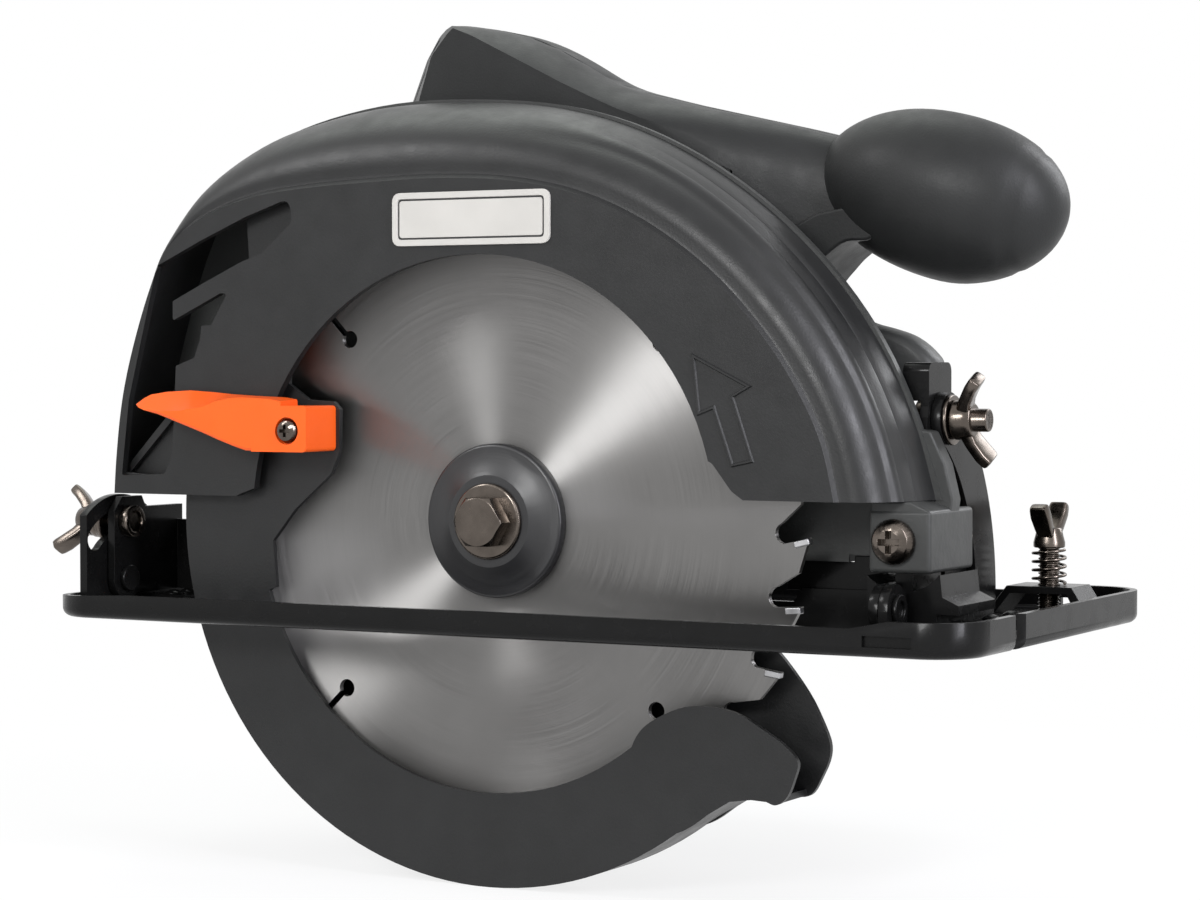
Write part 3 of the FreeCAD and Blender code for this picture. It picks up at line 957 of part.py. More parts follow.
# ---------------------------------------------------------------- base
def make_base():
    x0, x1, y0, y1 = BASE_REAR_X, BASE_FRONT_X, BASE_NEAR_Y, BASE_FAR_Y
    pan = rounded_block(x0, x1, y0, y1, 0, FRONT_RIM_H, BASE_CORNER_R)
    pan = round_edges(pan, 2.6, lambda e: e.BoundBox.ZMax < 0.01)
    inside = rounded_block(x0 + SHEET, x1 - SHEET, y0 + SHEET, y1 - SHEET, SHEET, 40, BASE_CORNER_R - SHEET)
    inside = round_edges(inside, 1.2, lambda e: e.BoundBox.ZMax < SHEET + 0.01)
    low_rim = slab_y([(x0 - 1, RIM_H - 1.2), (x0 + 30, RIM_H), (118, RIM_H), (128, FRONT_RIM_H), (128, 20),
                      (x0 - 1, 20)], y0 - 1, y1 + 1)
    blade_slot = rounded_block(SLOT_X[0], SLOT_X[1], SLOT_Y[0], SLOT_Y[1], -1, 10, 3)
    side_sight = box(121.5, 134.5, y0 - 1, y0 + 1.1, 2.6, 5.4)
    front_sight = slab_z([(x1 + 1, -2), (x1 + 1, 6.5), (x1 - 3.5, 3.6), (x1 - 3.5, 0.6)], -1, 20)
    holes = [rod_z(-1, 5, x, y, 2.0) for x, y in rivet_points()]
    holes.append(box(GUIDE_X - 9, GUIDE_X + 9, y1 - 6, y1 + 1, SHEET, SHEET + 3.4))
    ear_y0, ear_y1 = BEVEL_Y - 6.5, BEVEL_Y + 6.5
    ear = box(BASE_EAR_X, BASE_EAR_X + 2.5, ear_y0, ear_y1, SHEET, BEVEL_Z).fuse(
        rod_x(BASE_EAR_X, BASE_EAR_X + 2.5, BEVEL_Y, BEVEL_Z, 6.5))
    pin_hole = rod_x(BASE_EAR_X - 1, BASE_EAR_X + 4, BEVEL_Y, BEVEL_Z, BEVEL_PIN_R)
    base = pan.cut([inside, low_rim, blade_slot, side_sight, front_sight] + holes)
    base = base.fuse(ear.cut(pin_hole)).removeSplitter()
    save("base_plate", base)


BASE_EAR_X = 116.2


def slab_z(points, z0, z1):
    ring = [V(x, y, z0) for x, y in points]
    return Part.Face(Part.makePolygon(ring + ring[:1])).extrude(V(0, 0, z1 - z0))


def rounded_block(x0, x1, y0, y1, z0, z1, r):
    block = box(x0, x1, y0, y1, z0, z1)
    return block.makeFillet(r, [e for e in block.Edges if along(V(0, 0, 1))(e)])


def rivet_points():
    front = [(QUAD_X + 9, 38), (QUAD_X + 9, 53)]
    rear = [(REAR_QUAD_X + 11, 9.5), (REAR_QUAD_X + 11, 16)]
    return front + rear + [(GUIDE_X - STRAP_HALF - 4.2, GUIDE_Y)]


def make_base_fittings():
    x1 = QUAD_X + QUAD_T
    low = QUAD_R[1] * 0.98
    arc = sector_x(QUAD_X, x1, BEVEL_Y, BEVEL_Z, QUAD_R[0], QUAD_R[1], -1.0, STUD_DEG)
    arc = arc.fuse(rod_x(QUAD_X, x1, STUD_Y, STUD_Z, (QUAD_R[1] - QUAD_R[0]) / 2))
    leg = box(QUAD_X, x1, BEVEL_Y + QUAD_R[0], BEVEL_Y + low, SHEET, BEVEL_Z)
    foot = box(QUAD_X, QUAD_X + 15, 32, BEVEL_Y + low, SHEET, SHEET + 2.2)
    gusset = box(QUAD_X, x1, 32, BEVEL_Y + QUAD_R[0] + 1, SHEET, SHEET + 4)
    quad = arc.fuse([leg, foot, gusset]).cut(rod_x(QUAD_X - 1, x1 + 1, STUD_Y, STUD_Z, STUD_R + RUN))
    quad = quad.cut([rod_z(0, 20, x, y, 2.0) for x, y in rivet_points()[:2]])
    save("bevel_quadrant", quad.removeSplitter())

    x0, x1 = REAR_QUAD_X, REAR_QUAD_X + REAR_QUAD_T
    fan = sector_x(x0, x1, BEVEL_Y, BEVEL_Z, 1, REAR_QUAD_R, 0, 180)
    tall = box(x0, x1, BEVEL_Y - 15.5, BEVEL_Y + REAR_QUAD_R, SHEET, BEVEL_Z + REAR_QUAD_R)
    plate = fan.common(tall).fuse(box(x0, x1, BEVEL_Y - 15.5, BEVEL_Y + REAR_QUAD_R, SHEET, BEVEL_Z + 3))
    foot = box(x0, x0 + 17, 6, BEVEL_Y + REAR_QUAD_R, SHEET, SHEET + 2)
    plate = plate.fuse(foot).cut([arc_slot_x(x0 - 1, x1 + 1, BEVEL_Y, BEVEL_Z, REAR_SLOT_R, REAR_BOLT_R + 0.3,
                                             90, 90 + BEVEL_RANGE),
                                  rod_x(x0 - 1, x1 + 1, BEVEL_Y, BEVEL_Z, BEVEL_PIN_R)])
    plate = plate.cut([rod_z(0, 20, x, y, 2.0) for x, y in rivet_points()[2:4]])
    save("rear_quadrant", plate.removeSplitter())

    outer = [(-STRAP_HALF - 8, 0), (-STRAP_HALF, 0), (-STRAP_HALF + 6, STRAP_H), (STRAP_HALF - 7, STRAP_H),
             (STRAP_HALF - 3, 0), (STRAP_HALF - 0.8, 0), (STRAP_HALF - 0.8, SHEET),
             (STRAP_HALF - 5.5, STRAP_H + SHEET), (-STRAP_HALF + 5, STRAP_H + SHEET),
             (-STRAP_HALF - 0.6, SHEET), (-STRAP_HALF - 8, SHEET)]
    strap = slab_y([(GUIDE_X + x, SHEET + z) for x, z in outer], GUIDE_Y - STRAP_W / 2, GUIDE_Y + STRAP_W / 2)
    strap = strap.cut([rod_z(0, 30, GUIDE_X, GUIDE_Y, GUIDE_BOLT_R + RUN)]
                      + [rod_z(0, 20, x, y, 2.0) for x, y in rivet_points()[4:]])
    save("guide_strap", strap)

    rivets = []
    tops = [2.2, 2.2, 2.0, 2.0, SHEET]
    for (x, y), t in zip(rivet_points(), tops):
        shank = rod_z(0.4, SHEET + t, x, y, 1.9)
        dome = Part.makeSphere(3.4, V(x, y, SHEET + t - 2.0)).common(rod_z(SHEET + t, SHEET + t + 5, x, y, 6))
        rivets.append(shank.fuse(dome).removeSplitter())
    save("base_rivets", *rivets)


def make_guide_bolt():
    z0 = SHEET + STRAP_H + SHEET
    wings = turn_about_x(wing(4.6, 6.5, 1, 5.5), 90)
    wings.rotate(V(0, 0, 0), V(0, 1, 0), -90)
    z_hub = z0 + 10.5
    bolt = placed(wings, GUIDE_X, GUIDE_Y, z_hub)
    bolt = bolt.fuse(rod_z(SHEET + 1.2, z_hub + 1, GUIDE_X, GUIDE_Y, GUIDE_BOLT_R)).removeSplitter()
    save("guide_wing_bolt", bolt)
    save("guide_spring", coil(V(GUIDE_X, GUIDE_Y, z0 + 0.45), V(0, 0, 1), 4.4, 0.4, 2.3, 9.2))


# ---------------------------------------------------------------- tilt frame
def make_front_bracket():
    """The forward half of the tilt frame: depth ear, bevel tab, and the slotted sector with its hood."""
    block = slab_y([(107, 4), (126, 4), (126, 8), (132, 8), (132, 10.4), (127.6, 12.4), (127, 18), (107, 18)], 3, 29)
    block = block.cut(rod_y(-10, 60, DEPTH_X, DEPTH_Z, 13.2))
    ear = rod_y(EAR_Y[0], EAR_Y[1], DEPTH_X, DEPTH_Z, EAR_R)
    neck = box(DEPTH_X - 2.4, DEPTH_X + 2.4, EAR_Y[0], EAR_Y[1], 10, DEPTH_Z)
    tab_x1 = BASE_EAR_X - AIR
    tab = rod_x(tab_x1 - 2.5, tab_x1, BEVEL_Y, BEVEL_Z, 6.3).fuse(
        box(tab_x1 - 2.5, tab_x1, BEVEL_Y, 4, 4.2, BEVEL_Z + 6.3))
    s1 = QUAD_X - 0.2
    s0 = s1 - SECTOR_T
    mid = (QUAD_R[0] + QUAD_R[1]) / 2
    sector = sector_x(s0, s1, BEVEL_Y, BEVEL_Z, QUAD_R[0] + 0.5, QUAD_R[1] - 0.5, 2, STUD_DEG + 9)
    low_web = slab_x([(28, 4.2), (BEVEL_Y + mid, 4.2), (BEVEL_Y + mid, 16), (47, 20), (40, 17.5), (28, 17.5)], s0, s1)
    low_block = box(107, s1, 28.9, 33, 4, 17)
    hood_y0, hood_y1 = STUD_Y - 8.0, STUD_Y + 7.5
    hood_z = STUD_Z + 15
    sector = sector.cut(box(s0 - 1, s1 + 1, -20, Y_CASE_PLATE + 1, 40, 90))
    hood = box(s1 - 7.3, s1, hood_y0, hood_y1, STUD_Z + 5, hood_z)
    hood = round_edges(hood, 2.5, lambda e: along(V(1, 0, 0))(e) and e.BoundBox.ZMax > hood_z - 1)
    hood = hood.cut(box(s1 - 9, s0, hood_y0 + 2, hood_y1 - 2, STUD_Z, hood_z - 2))
    face = box(s0, s1, hood_y0, hood_y1, STUD_Z - 4, STUD_Z + 8)
    slot = arc_slot_x(s0 - 1, s1 + 1, BEVEL_Y, BEVEL_Z, STUD_ARC_R, STUD_R + 0.3, STUD_DEG - BEVEL_RANGE, STUD_DEG)
    bracket = block.fuse([ear, neck, tab, sector, low_web, low_block, hood, face])
    bracket = bracket.cut([slot, rod_y(-9, 30, DEPTH_X, DEPTH_Z, DEPTH_PIN_R + RUN),
                           rod_x(100, 130, BEVEL_Y, BEVEL_Z, BEVEL_PIN_R + RUN)])
    save("front_bracket", bracket.removeSplitter())
    pin = rod_x(tab_x1 - 4, BASE_EAR_X + 3.6, BEVEL_Y, BEVEL_Z, BEVEL_PIN_R - 0.02)
    pin = pin.fuse(rod_x(BASE_EAR_X + 2.5, BASE_EAR_X + 3.8, BEVEL_Y, BEVEL_Z, 4.0))
    eye = rod_x(BASE_EAR_X + 2.9, BASE_EAR_X + 6, BEVEL_Y, BEVEL_Z, 2.2)
    return pin.cut(eye).removeSplitter()


def make_front_clamp():
    """The bevel stud, its washer and the wing nut that clamps the quadrant to the sector."""
    x0 = QUAD_X - 0.2 - SECTOR_T
    nut_x = QUAD_X + QUAD_T + 1.4
    stud = rod_x(x0 - 3.2, nut_x + 9.5, STUD_Y, STUD_Z, STUD_R)
    stud = stud.fuse(rod_x(x0 - 3.2, x0 - AIR, STUD_Y, STUD_Z, 5.6))
    save("bevel_stud", stud.removeSplitter())
    washer = rod_x(QUAD_X + QUAD_T, QUAD_X + QUAD_T + 1.2, STUD_Y, STUD_Z, 6.6)
    save("bevel_washer", washer.cut(rod_x(100, 140, STUD_Y, STUD_Z, STUD_R + RUN)))
    nut = placed(wing(5.0, 5.6, 1, 4.2), nut_x, STUD_Y, STUD_Z)
    save("front_wing_nut", nut.cut(rod_x(100, 140, STUD_Y, STUD_Z, STUD_R + RUN)))


def make_depth_hinge():
    head_r = 5.8
    screw = pan_head_y(LUG_Y[0], DEPTH_X, DEPTH_Z, head_r, 4.2, DEPTH_PIN_R - 0.02, LUG_Y[1] - LUG_Y[0] + 6.5, 2.9)
    save("depth_pivot_screw", screw)
    nut = hexagon_y(LUG_Y[1], LUG_Y[1] + 5, DEPTH_X, DEPTH_Z, BOLT_AF)
    save("depth_pivot_nut", nut.cut(rod_y(0, 60, DEPTH_X, DEPTH_Z, DEPTH_PIN_R)))


def make_rear_bracket():
    x0, x1 = REAR_PLATE_X, REAR_PLATE_X + REAR_PLATE_T
    flange_y0 = DEPTH_ARM_Y[1]
    plate = slab_x([(BEVEL_Y - 6.3, BEVEL_Z), (BEVEL_Y - 6.3, 29), (BEVEL_Y - 2.5, 33.2), (1.8, 33.2), (3.6, 30),
                    (flange_y0 + 2.5, 30), (flange_y0 + 2.5, 5), (BEVEL_Y, 5), (BEVEL_Y, BEVEL_Z)], x0, x1)
    plate = plate.fuse(rod_x(x0, x1, BEVEL_Y, BEVEL_Z, 6.3))
    flange = slab_y([(x0, 5), (-92, 5), (-92, 22), (-98, 25.5), (x0, 25.5)], flange_y0, flange_y0 + 2.5)
    bolt_z = BEVEL_Z + REAR_SLOT_R
    holes = [rod_x(x0 - 1, x1 + 1, BEVEL_Y, BEVEL_Z, BEVEL_PIN_R + RUN),
             rod_x(x0 - 1, x1 + 1, BEVEL_Y, bolt_z, REAR_BOLT_R + RUN)]
    holes += [rod_y(0, 40, x, z, 2.0) for x, z in ARM_RIVETS]
    save("rear_bracket", plate.fuse(flange).cut(holes).removeSplitter())
    q = REAR_QUAD_X
    pin = rod_x(q - 0.8, x1 + 1.5, BEVEL_Y, BEVEL_Z, BEVEL_PIN_R - 0.02)
    pin = pin.fuse(rod_x(x1 + 0.1, x1 + 1.5, BEVEL_Y, BEVEL_Z, 3.8))
    nut = tube_x(x1, x1 + 3, BEVEL_Y, bolt_z, REAR_BOLT_R + RUN, 4.6)
    hub_x = q - 7.4
    bolt = placed(wing(4.8, 5.4, -1, 5.6), hub_x, BEVEL_Y, bolt_z)
    bolt = bolt.fuse(rod_x(hub_x - 1, x1 + 2.2, BEVEL_Y, bolt_z, REAR_BOLT_R))
    save("rear_wing_bolt", bolt.removeSplitter())
    washers = tube_x(q - 1.5, q - 0.1, BEVEL_Y, bolt_z, REAR_BOLT_R + RUN, 6.6)
    lock = tube_x(q - 3.2, q - 1.7, BEVEL_Y, bolt_z, REAR_BOLT_R + RUN, 5.6)
    collar = tube_x(q - 5.8, q - 3.4, BEVEL_Y, bolt_z, REAR_BOLT_R + RUN, 5.0)
    save("rear_clamp_washers", washers, lock, collar, nut)
    return pin.removeSplitter()


def tube_x(x0, x1, y, z, r_in, r_out):
    return rod_x(x0, x1, y, z, r_out).cut(rod_x(x0 - 1, x1 + 1, y, z, r_in))


ARM_RIVETS = ((-104.0, 11.5), (-97.0, 16.5))


def make_depth_arm():
    y0, y1 = DEPTH_ARM_Y
    half = DEPTH_ARM_W / 2
    top = DEPTH_REST_DEG + DEPTH_RANGE
    arm = sector_y(y0, y1, DEPTH_X, DEPTH_Z, DEPTH_ARM_R - half, DEPTH_ARM_R + half, 180 - top - 1.8, 180 + 5)
    slot = sector_y(y0 - 1, y1 + 1, DEPTH_X, DEPTH_Z, DEPTH_ARM_R - 3.2, DEPTH_ARM_R + 3.2,
                    180 - top - 0.9, 180 - DEPTH_REST_DEG + 0.9)
    foot = slab_y([(-112, 6), (-93, 6), (-92, 22), (-108, 22)], y0, y1)
    arm = arm.fuse(foot).cut([slot] + [rod_y(0, 40, x, z, 2.0) for x, z in ARM_RIVETS])
    save("depth_arm", arm.removeSplitter())
    rivets = []
    for x, z in ARM_RIVETS:
        shank = rod_y(y0 - 0.8, y1 + 3.3, x, z, 1.9)
        rivets.append(shank.fuse([rod_y(y0 - 1.2, y0, x, z, 3.2), rod_y(y1 + 2.5, y1 + 3.7, x, z, 3.2)])
                      .removeSplitter())
    save("arm_rivets", *rivets)
    bolt = rod_y(Y_CASE - 1.9, y1 + 9, CLAMP_X, CLAMP_Z, DEPTH_BOLT_R)
    bolt = bolt.fuse(rod_y(Y_CASE - 1.9, Y_CASE, CLAMP_X, CLAMP_Z, 5.4))
    save("depth_clamp_bolt", bolt.removeSplitter())
    ly0 = y1 + AIR
    hub = rod_y(ly0, ly0 + 7, CLAMP_X, CLAMP_Z, 7.5)
    blade = hull_y(ly0 + 1, ly0 + 6, CLAMP_X, CLAMP_Z, 6, CLAMP_X - 16, CLAMP_Z + LEVER_LEN, 4.5)
    lever = hub.fuse(blade).cut(rod_y(0, 60, CLAMP_X, CLAMP_Z, DEPTH_BOLT_R + RUN))
    save("depth_lever", lever.removeSplitter())


def main():
    make_blade()
    make_spindle()
    make_armature()
    screws = make_motor()
    make_lower_guard()
    make_guard_lever()
    make_return_spring()
    make_upper_guard()
    make_gear_case()
    screws += make_case_parts()
    make_spindle_lock()
    screws += make_handle()
    save("body_screws", *screws)
    make_switch()
    make_base()
    make_base_fittings()
    make_guide_bolt()
    front_pin = make_front_bracket()
    make_front_clamp()
    make_depth_hinge()
    save("bevel_pins", front_pin, make_rear_bracket())
    make_depth_arm()
    print(len(NODES), "nodes")


main()
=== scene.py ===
import json
import math

import bmesh
import bpy
from mathutils import Matrix, Vector
from mathutils.bvhtree import BVHTree


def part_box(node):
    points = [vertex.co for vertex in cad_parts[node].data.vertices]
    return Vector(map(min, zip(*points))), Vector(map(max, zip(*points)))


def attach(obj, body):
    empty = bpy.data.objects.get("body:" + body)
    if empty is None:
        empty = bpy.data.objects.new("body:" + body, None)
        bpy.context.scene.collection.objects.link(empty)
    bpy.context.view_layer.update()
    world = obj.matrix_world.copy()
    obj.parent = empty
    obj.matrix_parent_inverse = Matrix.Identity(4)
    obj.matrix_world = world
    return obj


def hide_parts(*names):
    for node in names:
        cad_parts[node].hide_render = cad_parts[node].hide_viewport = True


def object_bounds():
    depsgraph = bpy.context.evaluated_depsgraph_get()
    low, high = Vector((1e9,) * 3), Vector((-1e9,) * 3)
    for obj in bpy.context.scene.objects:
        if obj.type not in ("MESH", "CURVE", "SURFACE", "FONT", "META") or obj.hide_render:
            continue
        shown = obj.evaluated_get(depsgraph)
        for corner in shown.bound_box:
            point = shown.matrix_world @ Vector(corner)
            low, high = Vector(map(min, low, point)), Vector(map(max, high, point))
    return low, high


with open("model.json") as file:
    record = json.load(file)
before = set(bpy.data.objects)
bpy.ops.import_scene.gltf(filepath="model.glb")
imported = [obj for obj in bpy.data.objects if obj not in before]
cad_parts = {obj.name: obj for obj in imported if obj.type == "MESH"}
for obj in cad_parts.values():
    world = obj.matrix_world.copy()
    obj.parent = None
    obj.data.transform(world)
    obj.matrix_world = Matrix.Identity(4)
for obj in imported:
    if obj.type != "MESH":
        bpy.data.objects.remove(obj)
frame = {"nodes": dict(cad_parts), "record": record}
cad_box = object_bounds()
NODES = frame["nodes"]
MM = 0.001


# ---------------------------------------------------------------- stage
def area_light(name, place, target, size, size_y, power, tint=(1, 1, 1), roll=0.0):
    """A soft lamp that faces target and is rolled about its own line of sight, in degrees."""
    lamp = bpy.data.lights.new(name, "AREA")
    lamp.shape = "RECTANGLE"
    lamp.size, lamp.size_y = size, size_y
    lamp.energy = power
    lamp.color = tint
    obj = bpy.data.objects.new(name, lamp)
    bpy.context.scene.collection.objects.link(obj)
    obj.location = place
    aim = (Vector(target) - Vector(place)).to_track_quat("-Z", "Y").to_matrix()
    obj.rotation_euler = (aim @ Matrix.Rotation(math.radians(roll), 3, "Z")).to_euler()


def make_camera():
    """The photograph's viewpoint: low, in front of the blade side and to the right."""
    lens = bpy.data.cameras.new("camera")
    lens.lens = 90
    lens.sensor_width = 36
    camera = bpy.data.objects.new("camera", lens)
    bpy.context.scene.collection.objects.link(camera)
    camera.location = (0.4122, -0.7049, 0.0715)
    camera.rotation_euler = (math.radians(88.36), 0, math.radians(28.42))
    bpy.context.scene.camera = camera


def seen_ray(tree):
    """1 for the rays that show the background: the camera's, and those seen in metal and through glass."""
    path = tree.nodes.new("ShaderNodeLightPath")
    value = path.outputs["Is Camera Ray"]
    for kind in ("Is Glossy Ray", "Is Transmission Ray"):
        either = tree.nodes.new("ShaderNodeMath")
        either.operation = "MAXIMUM"
        tree.links.new(value, either.inputs[0])
        tree.links.new(path.outputs[kind], either.inputs[1])
        value = either.outputs[0]
    return value


SHADOW_KEPT_TO, WHITE_FROM = 0.12, 0.42   # metres from the object's origin
WHITE_SHARE = 0.8                         # of plain white in the floor near the object


def fade_to_white(tree):
    """A pale floor that keeps the shadow near the object and is plain white farther out."""
    pale = tree.nodes["Principled BSDF"]
    pale.inputs["Base Color"].default_value = (0.9, 0.9, 0.9, 1)
    pale.inputs["Roughness"].default_value = 0.9
    white = tree.nodes.new("ShaderNodeEmission")
    white.inputs["Strength"].default_value = 1.0
    place = tree.nodes.new("ShaderNodeTexCoord")
    far = tree.nodes.new("ShaderNodeVectorMath")
    far.operation = "LENGTH"
    tree.links.new(place.outputs["Object"], far.inputs[0])
    share = tree.nodes.new("ShaderNodeMapRange")
    share.inputs["From Min"].default_value = SHADOW_KEPT_TO
    share.inputs["From Max"].default_value = WHITE_FROM
    share.inputs["To Min"].default_value = WHITE_SHARE
    share.inputs["To Max"].default_value = 1.0
    tree.links.new(far.outputs["Value"], share.inputs["Value"])
    both = tree.nodes.new("ShaderNodeMath")
    both.operation = "MULTIPLY"
    tree.links.new(seen_ray(tree), both.inputs[0])
    tree.links.new(share.outputs[0], both.inputs[1])
    mix = tree.nodes.new("ShaderNodeMixShader")
    tree.links.new(both.outputs[0], mix.inputs["Fac"])
    tree.links.new(pale.outputs[0], mix.inputs[1])
    tree.links.new(white.outputs[0], mix.inputs[2])
    tree.links.new(mix.outputs[0], tree.nodes["Material Output"].inputs["Surface"])


def make_stage():
    """A plain pale floor under the lowest point, a white background, and soft lamps around the object."""
    low = cad_box[0][2]
    mesh = bpy.data.meshes.new("floor")
    reach = 6.0
    corners = [(-reach, -reach, low), (reach, -reach, low), (reach, reach, low), (-reach, reach, low)]
    mesh.from_pydata(corners, [], [(0, 1, 2, 3)])
    floor = bpy.data.objects.new("floor", mesh)
    bpy.context.scene.collection.objects.link(floor)
    mat = bpy.data.materials.new("floor_white")
    mat.use_nodes = True
    fade_to_white(mat.node_tree)
    floor.data.materials.append(mat)

    world = bpy.data.worlds.new("studio")
    bpy.context.scene.world = world
    world.use_nodes = True
    tree = world.node_tree
    tree.nodes.clear()
    out = tree.nodes.new("ShaderNodeOutputWorld")
    mix = tree.nodes.new("ShaderNodeMixShader")
    seen = tree.nodes.new("ShaderNodeBackground")
    seen.inputs["Color"].default_value = (1, 1, 1, 1)
    seen.inputs["Strength"].default_value = 1.0
    lit = tree.nodes.new("ShaderNodeBackground")
    lit.inputs["Color"].default_value = (0.95, 0.97, 1, 1)
    lit.inputs["Strength"].default_value = 0.3
    tree.links.new(seen_ray(tree), mix.inputs["Fac"])
    tree.links.new(lit.outputs[0], mix.inputs[1])
    tree.links.new(seen.outputs[0], mix.inputs[2])
    tree.links.new(mix.outputs[0], out.inputs["Surface"])

    area_light("key", (0.05, -1.81, 0.8), (0, 0, 0.06), 0.7, 0.42, 22, roll=35)
    area_light("left", (-1.2, -1.0, 1.3), (0, 0, 0.06), 0.4, 0.6, 10.5)
    area_light("back", (-0.55, 0.55, 1.4), (0, 0.02, 0.1), 1.1, 0.9, 5.5, (0.93, 1, 0.93))
    area_light("right", (1.45, -0.45, 0.75), (0.05, 0, 0.06), 0.35, 1.4, 30, (0.93, 0.93, 1))
    area_light("rear", (0.75, 1.35, 0.95), (0.02, 0, 0.08), 0.6, 1.0, 14, (0.96, 0.97, 1))
    bpy.context.scene.view_settings.view_transform = "Standard"


# ---------------------------------------------------------------- materials
class Surface:
    """A procedural material: a principled shader with mottled colour, uneven roughness and a fine bump."""

    def __init__(self, name, colour, rough, metal=0.0):
        self.mat = bpy.data.materials.new(name)
        self.mat.use_nodes = True
        self.tree = self.mat.node_tree
        self.bsdf = self.tree.nodes["Principled BSDF"]
        self.bsdf.inputs["Metallic"].default_value = metal
        self.colour = colour
        self.rough = rough
        self.place = self.tree.nodes.new("ShaderNodeTexCoord").outputs["Object"]
        self.bump_from = None

    def put(self, socket, value):
        """Sets one of the shader's own sockets."""
        self.bsdf.inputs[socket].default_value = value
        return self

    def noise(self, scale, detail, rough=0.5, vector=None):
        """A noise value, in the object's own space unless a vector is given."""
        node = self.tree.nodes.new("ShaderNodeTexNoise")
        node.inputs["Scale"].default_value = scale
        node.inputs["Detail"].default_value = detail
        node.inputs["Roughness"].default_value = rough
        self.tree.links.new(vector or self.place, node.inputs["Vector"])
        return node.outputs["Fac"]

    def spread(self, source, low, high):
        """Stretches the middle of a noise value over low to high."""
        node = self.tree.nodes.new("ShaderNodeMapRange")
        node.inputs["From Min"].default_value = 0.3
        node.inputs["From Max"].default_value = 0.7
        node.inputs["To Min"].default_value = low
        node.inputs["To Max"].default_value = high
        self.tree.links.new(source, node.inputs["Value"])
        return node.outputs["Result"]

    def mottle(self, scale, amount):
        """Colour that drifts between a darker and a lighter tone."""
        dark = [c * (1 - amount) for c in self.colour]
        light = [min(1, c * (1 + amount)) for c in self.colour]
        ramp = self.tree.nodes.new("ShaderNodeValToRGB")
        ramp.color_ramp.elements[0].position = 0.32
        ramp.color_ramp.elements[1].position = 0.68
        ramp.color_ramp.elements[0].color = (*dark, 1)
        ramp.color_ramp.elements[1].color = (*light, 1)
        self.tree.links.new(self.noise(scale, 4), ramp.inputs["Fac"])
        self.tree.links.new(ramp.outputs["Color"], self.bsdf.inputs["Base Color"])
        return self

    def uneven(self, scale, amount, vector=None):
        """Roughness that drifts by an amount to either side."""
        low, high = max(0.02, self.rough - amount), min(1, self.rough + amount)
        rough = self.spread(self.noise(scale, 3, 0.6, vector), low, high)
        self.tree.links.new(rough, self.bsdf.inputs["Roughness"])
        return self

    def bump(self, height, distance, strength):
        """Adds a bump on top of the bumps so far."""
        node = self.tree.nodes.new("ShaderNodeBump")
        node.inputs["Strength"].default_value = strength
        node.inputs["Distance"].default_value = distance
        self.tree.links.new(height, node.inputs["Height"])
        if self.bump_from is not None:
            self.tree.links.new(self.bump_from, node.inputs["Normal"])
        self.bump_from = node.outputs["Normal"]
        self.tree.links.new(self.bump_from, self.bsdf.inputs["Normal"])
        return self

    def grain(self, scale, distance, strength):
        return self.bump(self.noise(scale, 2, 0.6), distance, strength)

    def polar(self, centre):
        """Radius and turn about a Y axis through centre, as a vector for rings and spokes."""
        nodes, links = self.tree.nodes, self.tree.links
        split = nodes.new("ShaderNodeSeparateXYZ")
        shift = nodes.new("ShaderNodeVectorMath")
        shift.operation = "SUBTRACT"
        shift.inputs[1].default_value = centre
        links.new(self.place, shift.inputs[0])
        links.new(shift.outputs[0], split.inputs[0])
        flat = nodes.new("ShaderNodeCombineXYZ")
        links.new(split.outputs["X"], flat.inputs["X"])
        links.new(split.outputs["Z"], flat.inputs["Z"])
        length = nodes.new("ShaderNodeVectorMath")
        length.operation = "LENGTH"
        links.new(flat.outputs[0], length.inputs[0])
        turn = nodes.new("ShaderNodeMath")
        turn.operation = "ARCTAN2"
        links.new(split.outputs["Z"], turn.inputs[0])
        links.new(split.outputs["X"], turn.inputs[1])
        both = nodes.new("ShaderNodeCombineXYZ")
        links.new(length.outputs["Value"], both.inputs["X"])
        links.new(turn.outputs[0], both.inputs["Y"])
        return both.outputs[0]

    def scaled(self, vector, by):
        """A vector with each part multiplied by its own factor."""
        node = self.tree.nodes.new("ShaderNodeVectorMath")
        node.operation = "MULTIPLY"
        node.inputs[1].default_value = by
        self.tree.links.new(vector, node.inputs[0])
        return node.outputs[0]


ARBOR = (0, 0, 0.029)


def painted(name, colour, rough, grain_scale=900, grain=0.00006, mottle=0.12, coat=0.0, shine=0.3):
    """Paint or moulded plastic with a fine grain, and a clear coat where it is glossy."""
    paint = Surface(name, colour, rough).mottle(60, mottle).uneven(140, 0.06).grain(grain_scale, grain, 0.6)
    paint.put("Specular IOR Level", shine)
    if coat:
        paint.put("Coat Weight", coat).put("Coat Roughness", 0.08)
    return paint.mat


def blade_steel():
    """Steel ground in rings about the arbor, so that its gloss spreads into fans."""
    steel = Surface("blade_steel", (0.23, 0.226, 0.222), 0.38, 1.0)
    rings = steel.scaled(steel.polar(ARBOR), (5200, 1.2, 1))
    steel.put("Anisotropic", 1.0).put("Anisotropic Rotation", 0.25)
    tangent = steel.tree.nodes.new("ShaderNodeTangent")
    tangent.direction_type = "RADIAL"
    tangent.axis = "Y"
    steel.tree.links.new(tangent.outputs[0], steel.bsdf.inputs["Tangent"])
    steel.mottle(35, 0.06)
    steel.uneven(1, 0.09, rings)
    steel.bump(steel.noise(1, 2, 0.6, rings), 0.00002, 0.35)
    return steel.mat


def turned_finish(name, colour, rough, metal):
    """Metal or finish with fine turning rings about the arbor."""
    part = Surface(name, colour, rough, metal)
    rings = part.scaled(part.polar(ARBOR), (2600, 0.3, 1))
    part.mottle(90, 0.12).uneven(1, 0.08, rings)
    part.bump(part.noise(1, 2, 0.5, rings), 0.00003, 0.4)
    return part.mat


